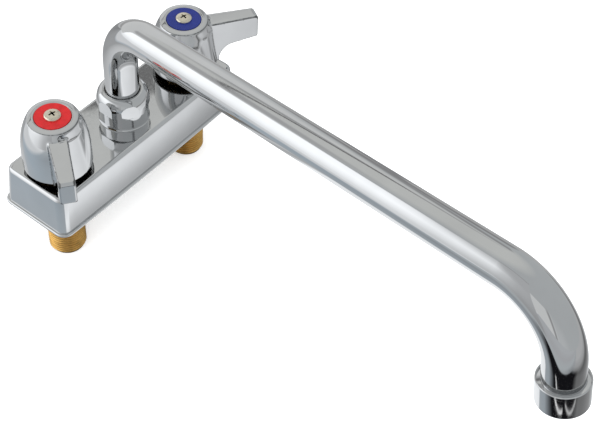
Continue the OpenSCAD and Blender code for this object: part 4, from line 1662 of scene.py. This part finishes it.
def make_room(look):
    """A grey room, a little lighter over the back of the faucet, and white where the camera looks."""
    world = bpy.data.worlds.new("room")
    world.use_nodes = True
    world.cycles.sampling_method = "NONE"
    tree = world.node_tree
    place = add_node(tree, "TexCoord", {}).outputs["Generated"]

    def toward(azimuth, elevation, start, end):
        return beyond(tree, place, heading(azimuth, elevation), start, end)

    def upward(start, end):
        return beyond(tree, place, (0, 0, 1), start, end)

    wall = all_of(tree, toward(212, 0, -0.04, 0.16), upward(0.565, 0.545))
    corner = all_of(tree, toward(207, 0, -0.05, -0.01), toward(207, 0, 0.09, 0.03), upward(0.6, 0.5))
    seam = all_of(
        tree,
        upward(0.54, 0.565),
        upward(0.625, 0.6),
        toward(212, 0, 0.02, 0.1),
        toward(240, 0, 0.2, 0.0),
    )
    to_camera = add_node(tree, "LightPath", {}).outputs["Is Camera Ray"]
    room = patched(tree, (0.565, 0.588, 0.598), (
        (toward(-60, 0, 0.82, 0.97), (0.63, 0.65, 0.66)),
        (toward(150, 52, 0.76, 0.94), (0.725, 0.735, 0.72)),
        (wall, (0.81, 0.82, 0.82)),
        (corner, (0.38, 0.385, 0.39)),
        (seam, (0.47, 0.475, 0.48)),
        (toward(188, 34, 0.985, 0.996), (0.53, 0.535, 0.54)),
        (toward(113, 4, 0.985, 0.996), (0.33, 0.33, 0.335)),
        (to_camera, (1.0, 1.0, 1.0)),
    ))
    put(tree, tree.nodes["Background"], {"Color": room, "Strength": look.room})
    bpy.context.scene.world = world


def make_camera():
    """The camera stands where the photograph was taken from."""
    back = Vector(heading(-56.0, 48.7))
    roll = math.radians(4.85)
    level = (-back).cross(Vector((0, 0, 1))).normalized()
    upward = level.cross(-back)
    right = level * math.cos(roll) + upward * math.sin(roll)
    up = upward * math.cos(roll) - level * math.sin(roll)
    data = bpy.data.cameras.new("camera")
    data.sensor_fit = "HORIZONTAL"
    data.sensor_width = 36
    data.lens = 75.23
    data.clip_start = 0.01
    data.clip_end = 50
    camera = bpy.data.objects.new("camera", data)
    bpy.context.scene.collection.objects.link(camera)
    turn = Matrix((right, up, back)).transposed().to_4x4()
    camera.matrix_world = Matrix.Translation((-0.35251, -0.36059, 0.51707)) @ turn
    bpy.context.scene.camera = camera


OPERATORS = (
    FAUCET_OT_body,
    FAUCET_OT_shanks,
    FAUCET_OT_seat,
    FAUCET_OT_spout,
    FAUCET_OT_handles,
    FAUCET_OT_indexes,
    FAUCET_OT_screws,
    FAUCET_OT_inner_pieces,
    FAUCET_OT_stage,
)


class FAUCET_PT_panel(bpy.types.Panel):
    """Sizes, finishes and steps of the faucet"""

    bl_idname = "FAUCET_PT_panel"
    bl_label = "Bar faucet"
    bl_space_type = "VIEW_3D"
    bl_region_type = "UI"
    bl_category = "Faucet"

    def draw(self, context):
        for attribute, group in GROUPS:
            box = self.layout.box()
            values = getattr(context.scene, attribute)
            for name in group.__annotations__:
                box.prop(values, name)
        for operator in OPERATORS:
            self.layout.operator(operator.bl_idname)


def register():
    for attribute, group in GROUPS:
        bpy.utils.register_class(group)
        setattr(bpy.types.Scene, attribute, PointerProperty(type=group))
    for operator in OPERATORS:
        bpy.utils.register_class(operator)
    bpy.utils.register_class(FAUCET_PT_panel)


def unregister():
    bpy.utils.unregister_class(FAUCET_PT_panel)
    for operator in reversed(OPERATORS):
        bpy.utils.unregister_class(operator)
    for attribute, group in reversed(GROUPS):
        delattr(bpy.types.Scene, attribute)
        bpy.utils.unregister_class(group)


def main():
    register()
    bpy.ops.faucet.body()
    bpy.ops.faucet.shanks()
    bpy.ops.faucet.seat()
    bpy.ops.faucet.spout()
    bpy.ops.faucet.handles()
    bpy.ops.faucet.indexes()
    bpy.ops.faucet.screws()
    bpy.ops.faucet.inner_pieces()
    bpy.ops.faucet.stage()


if __name__ == "__main__":
    main()
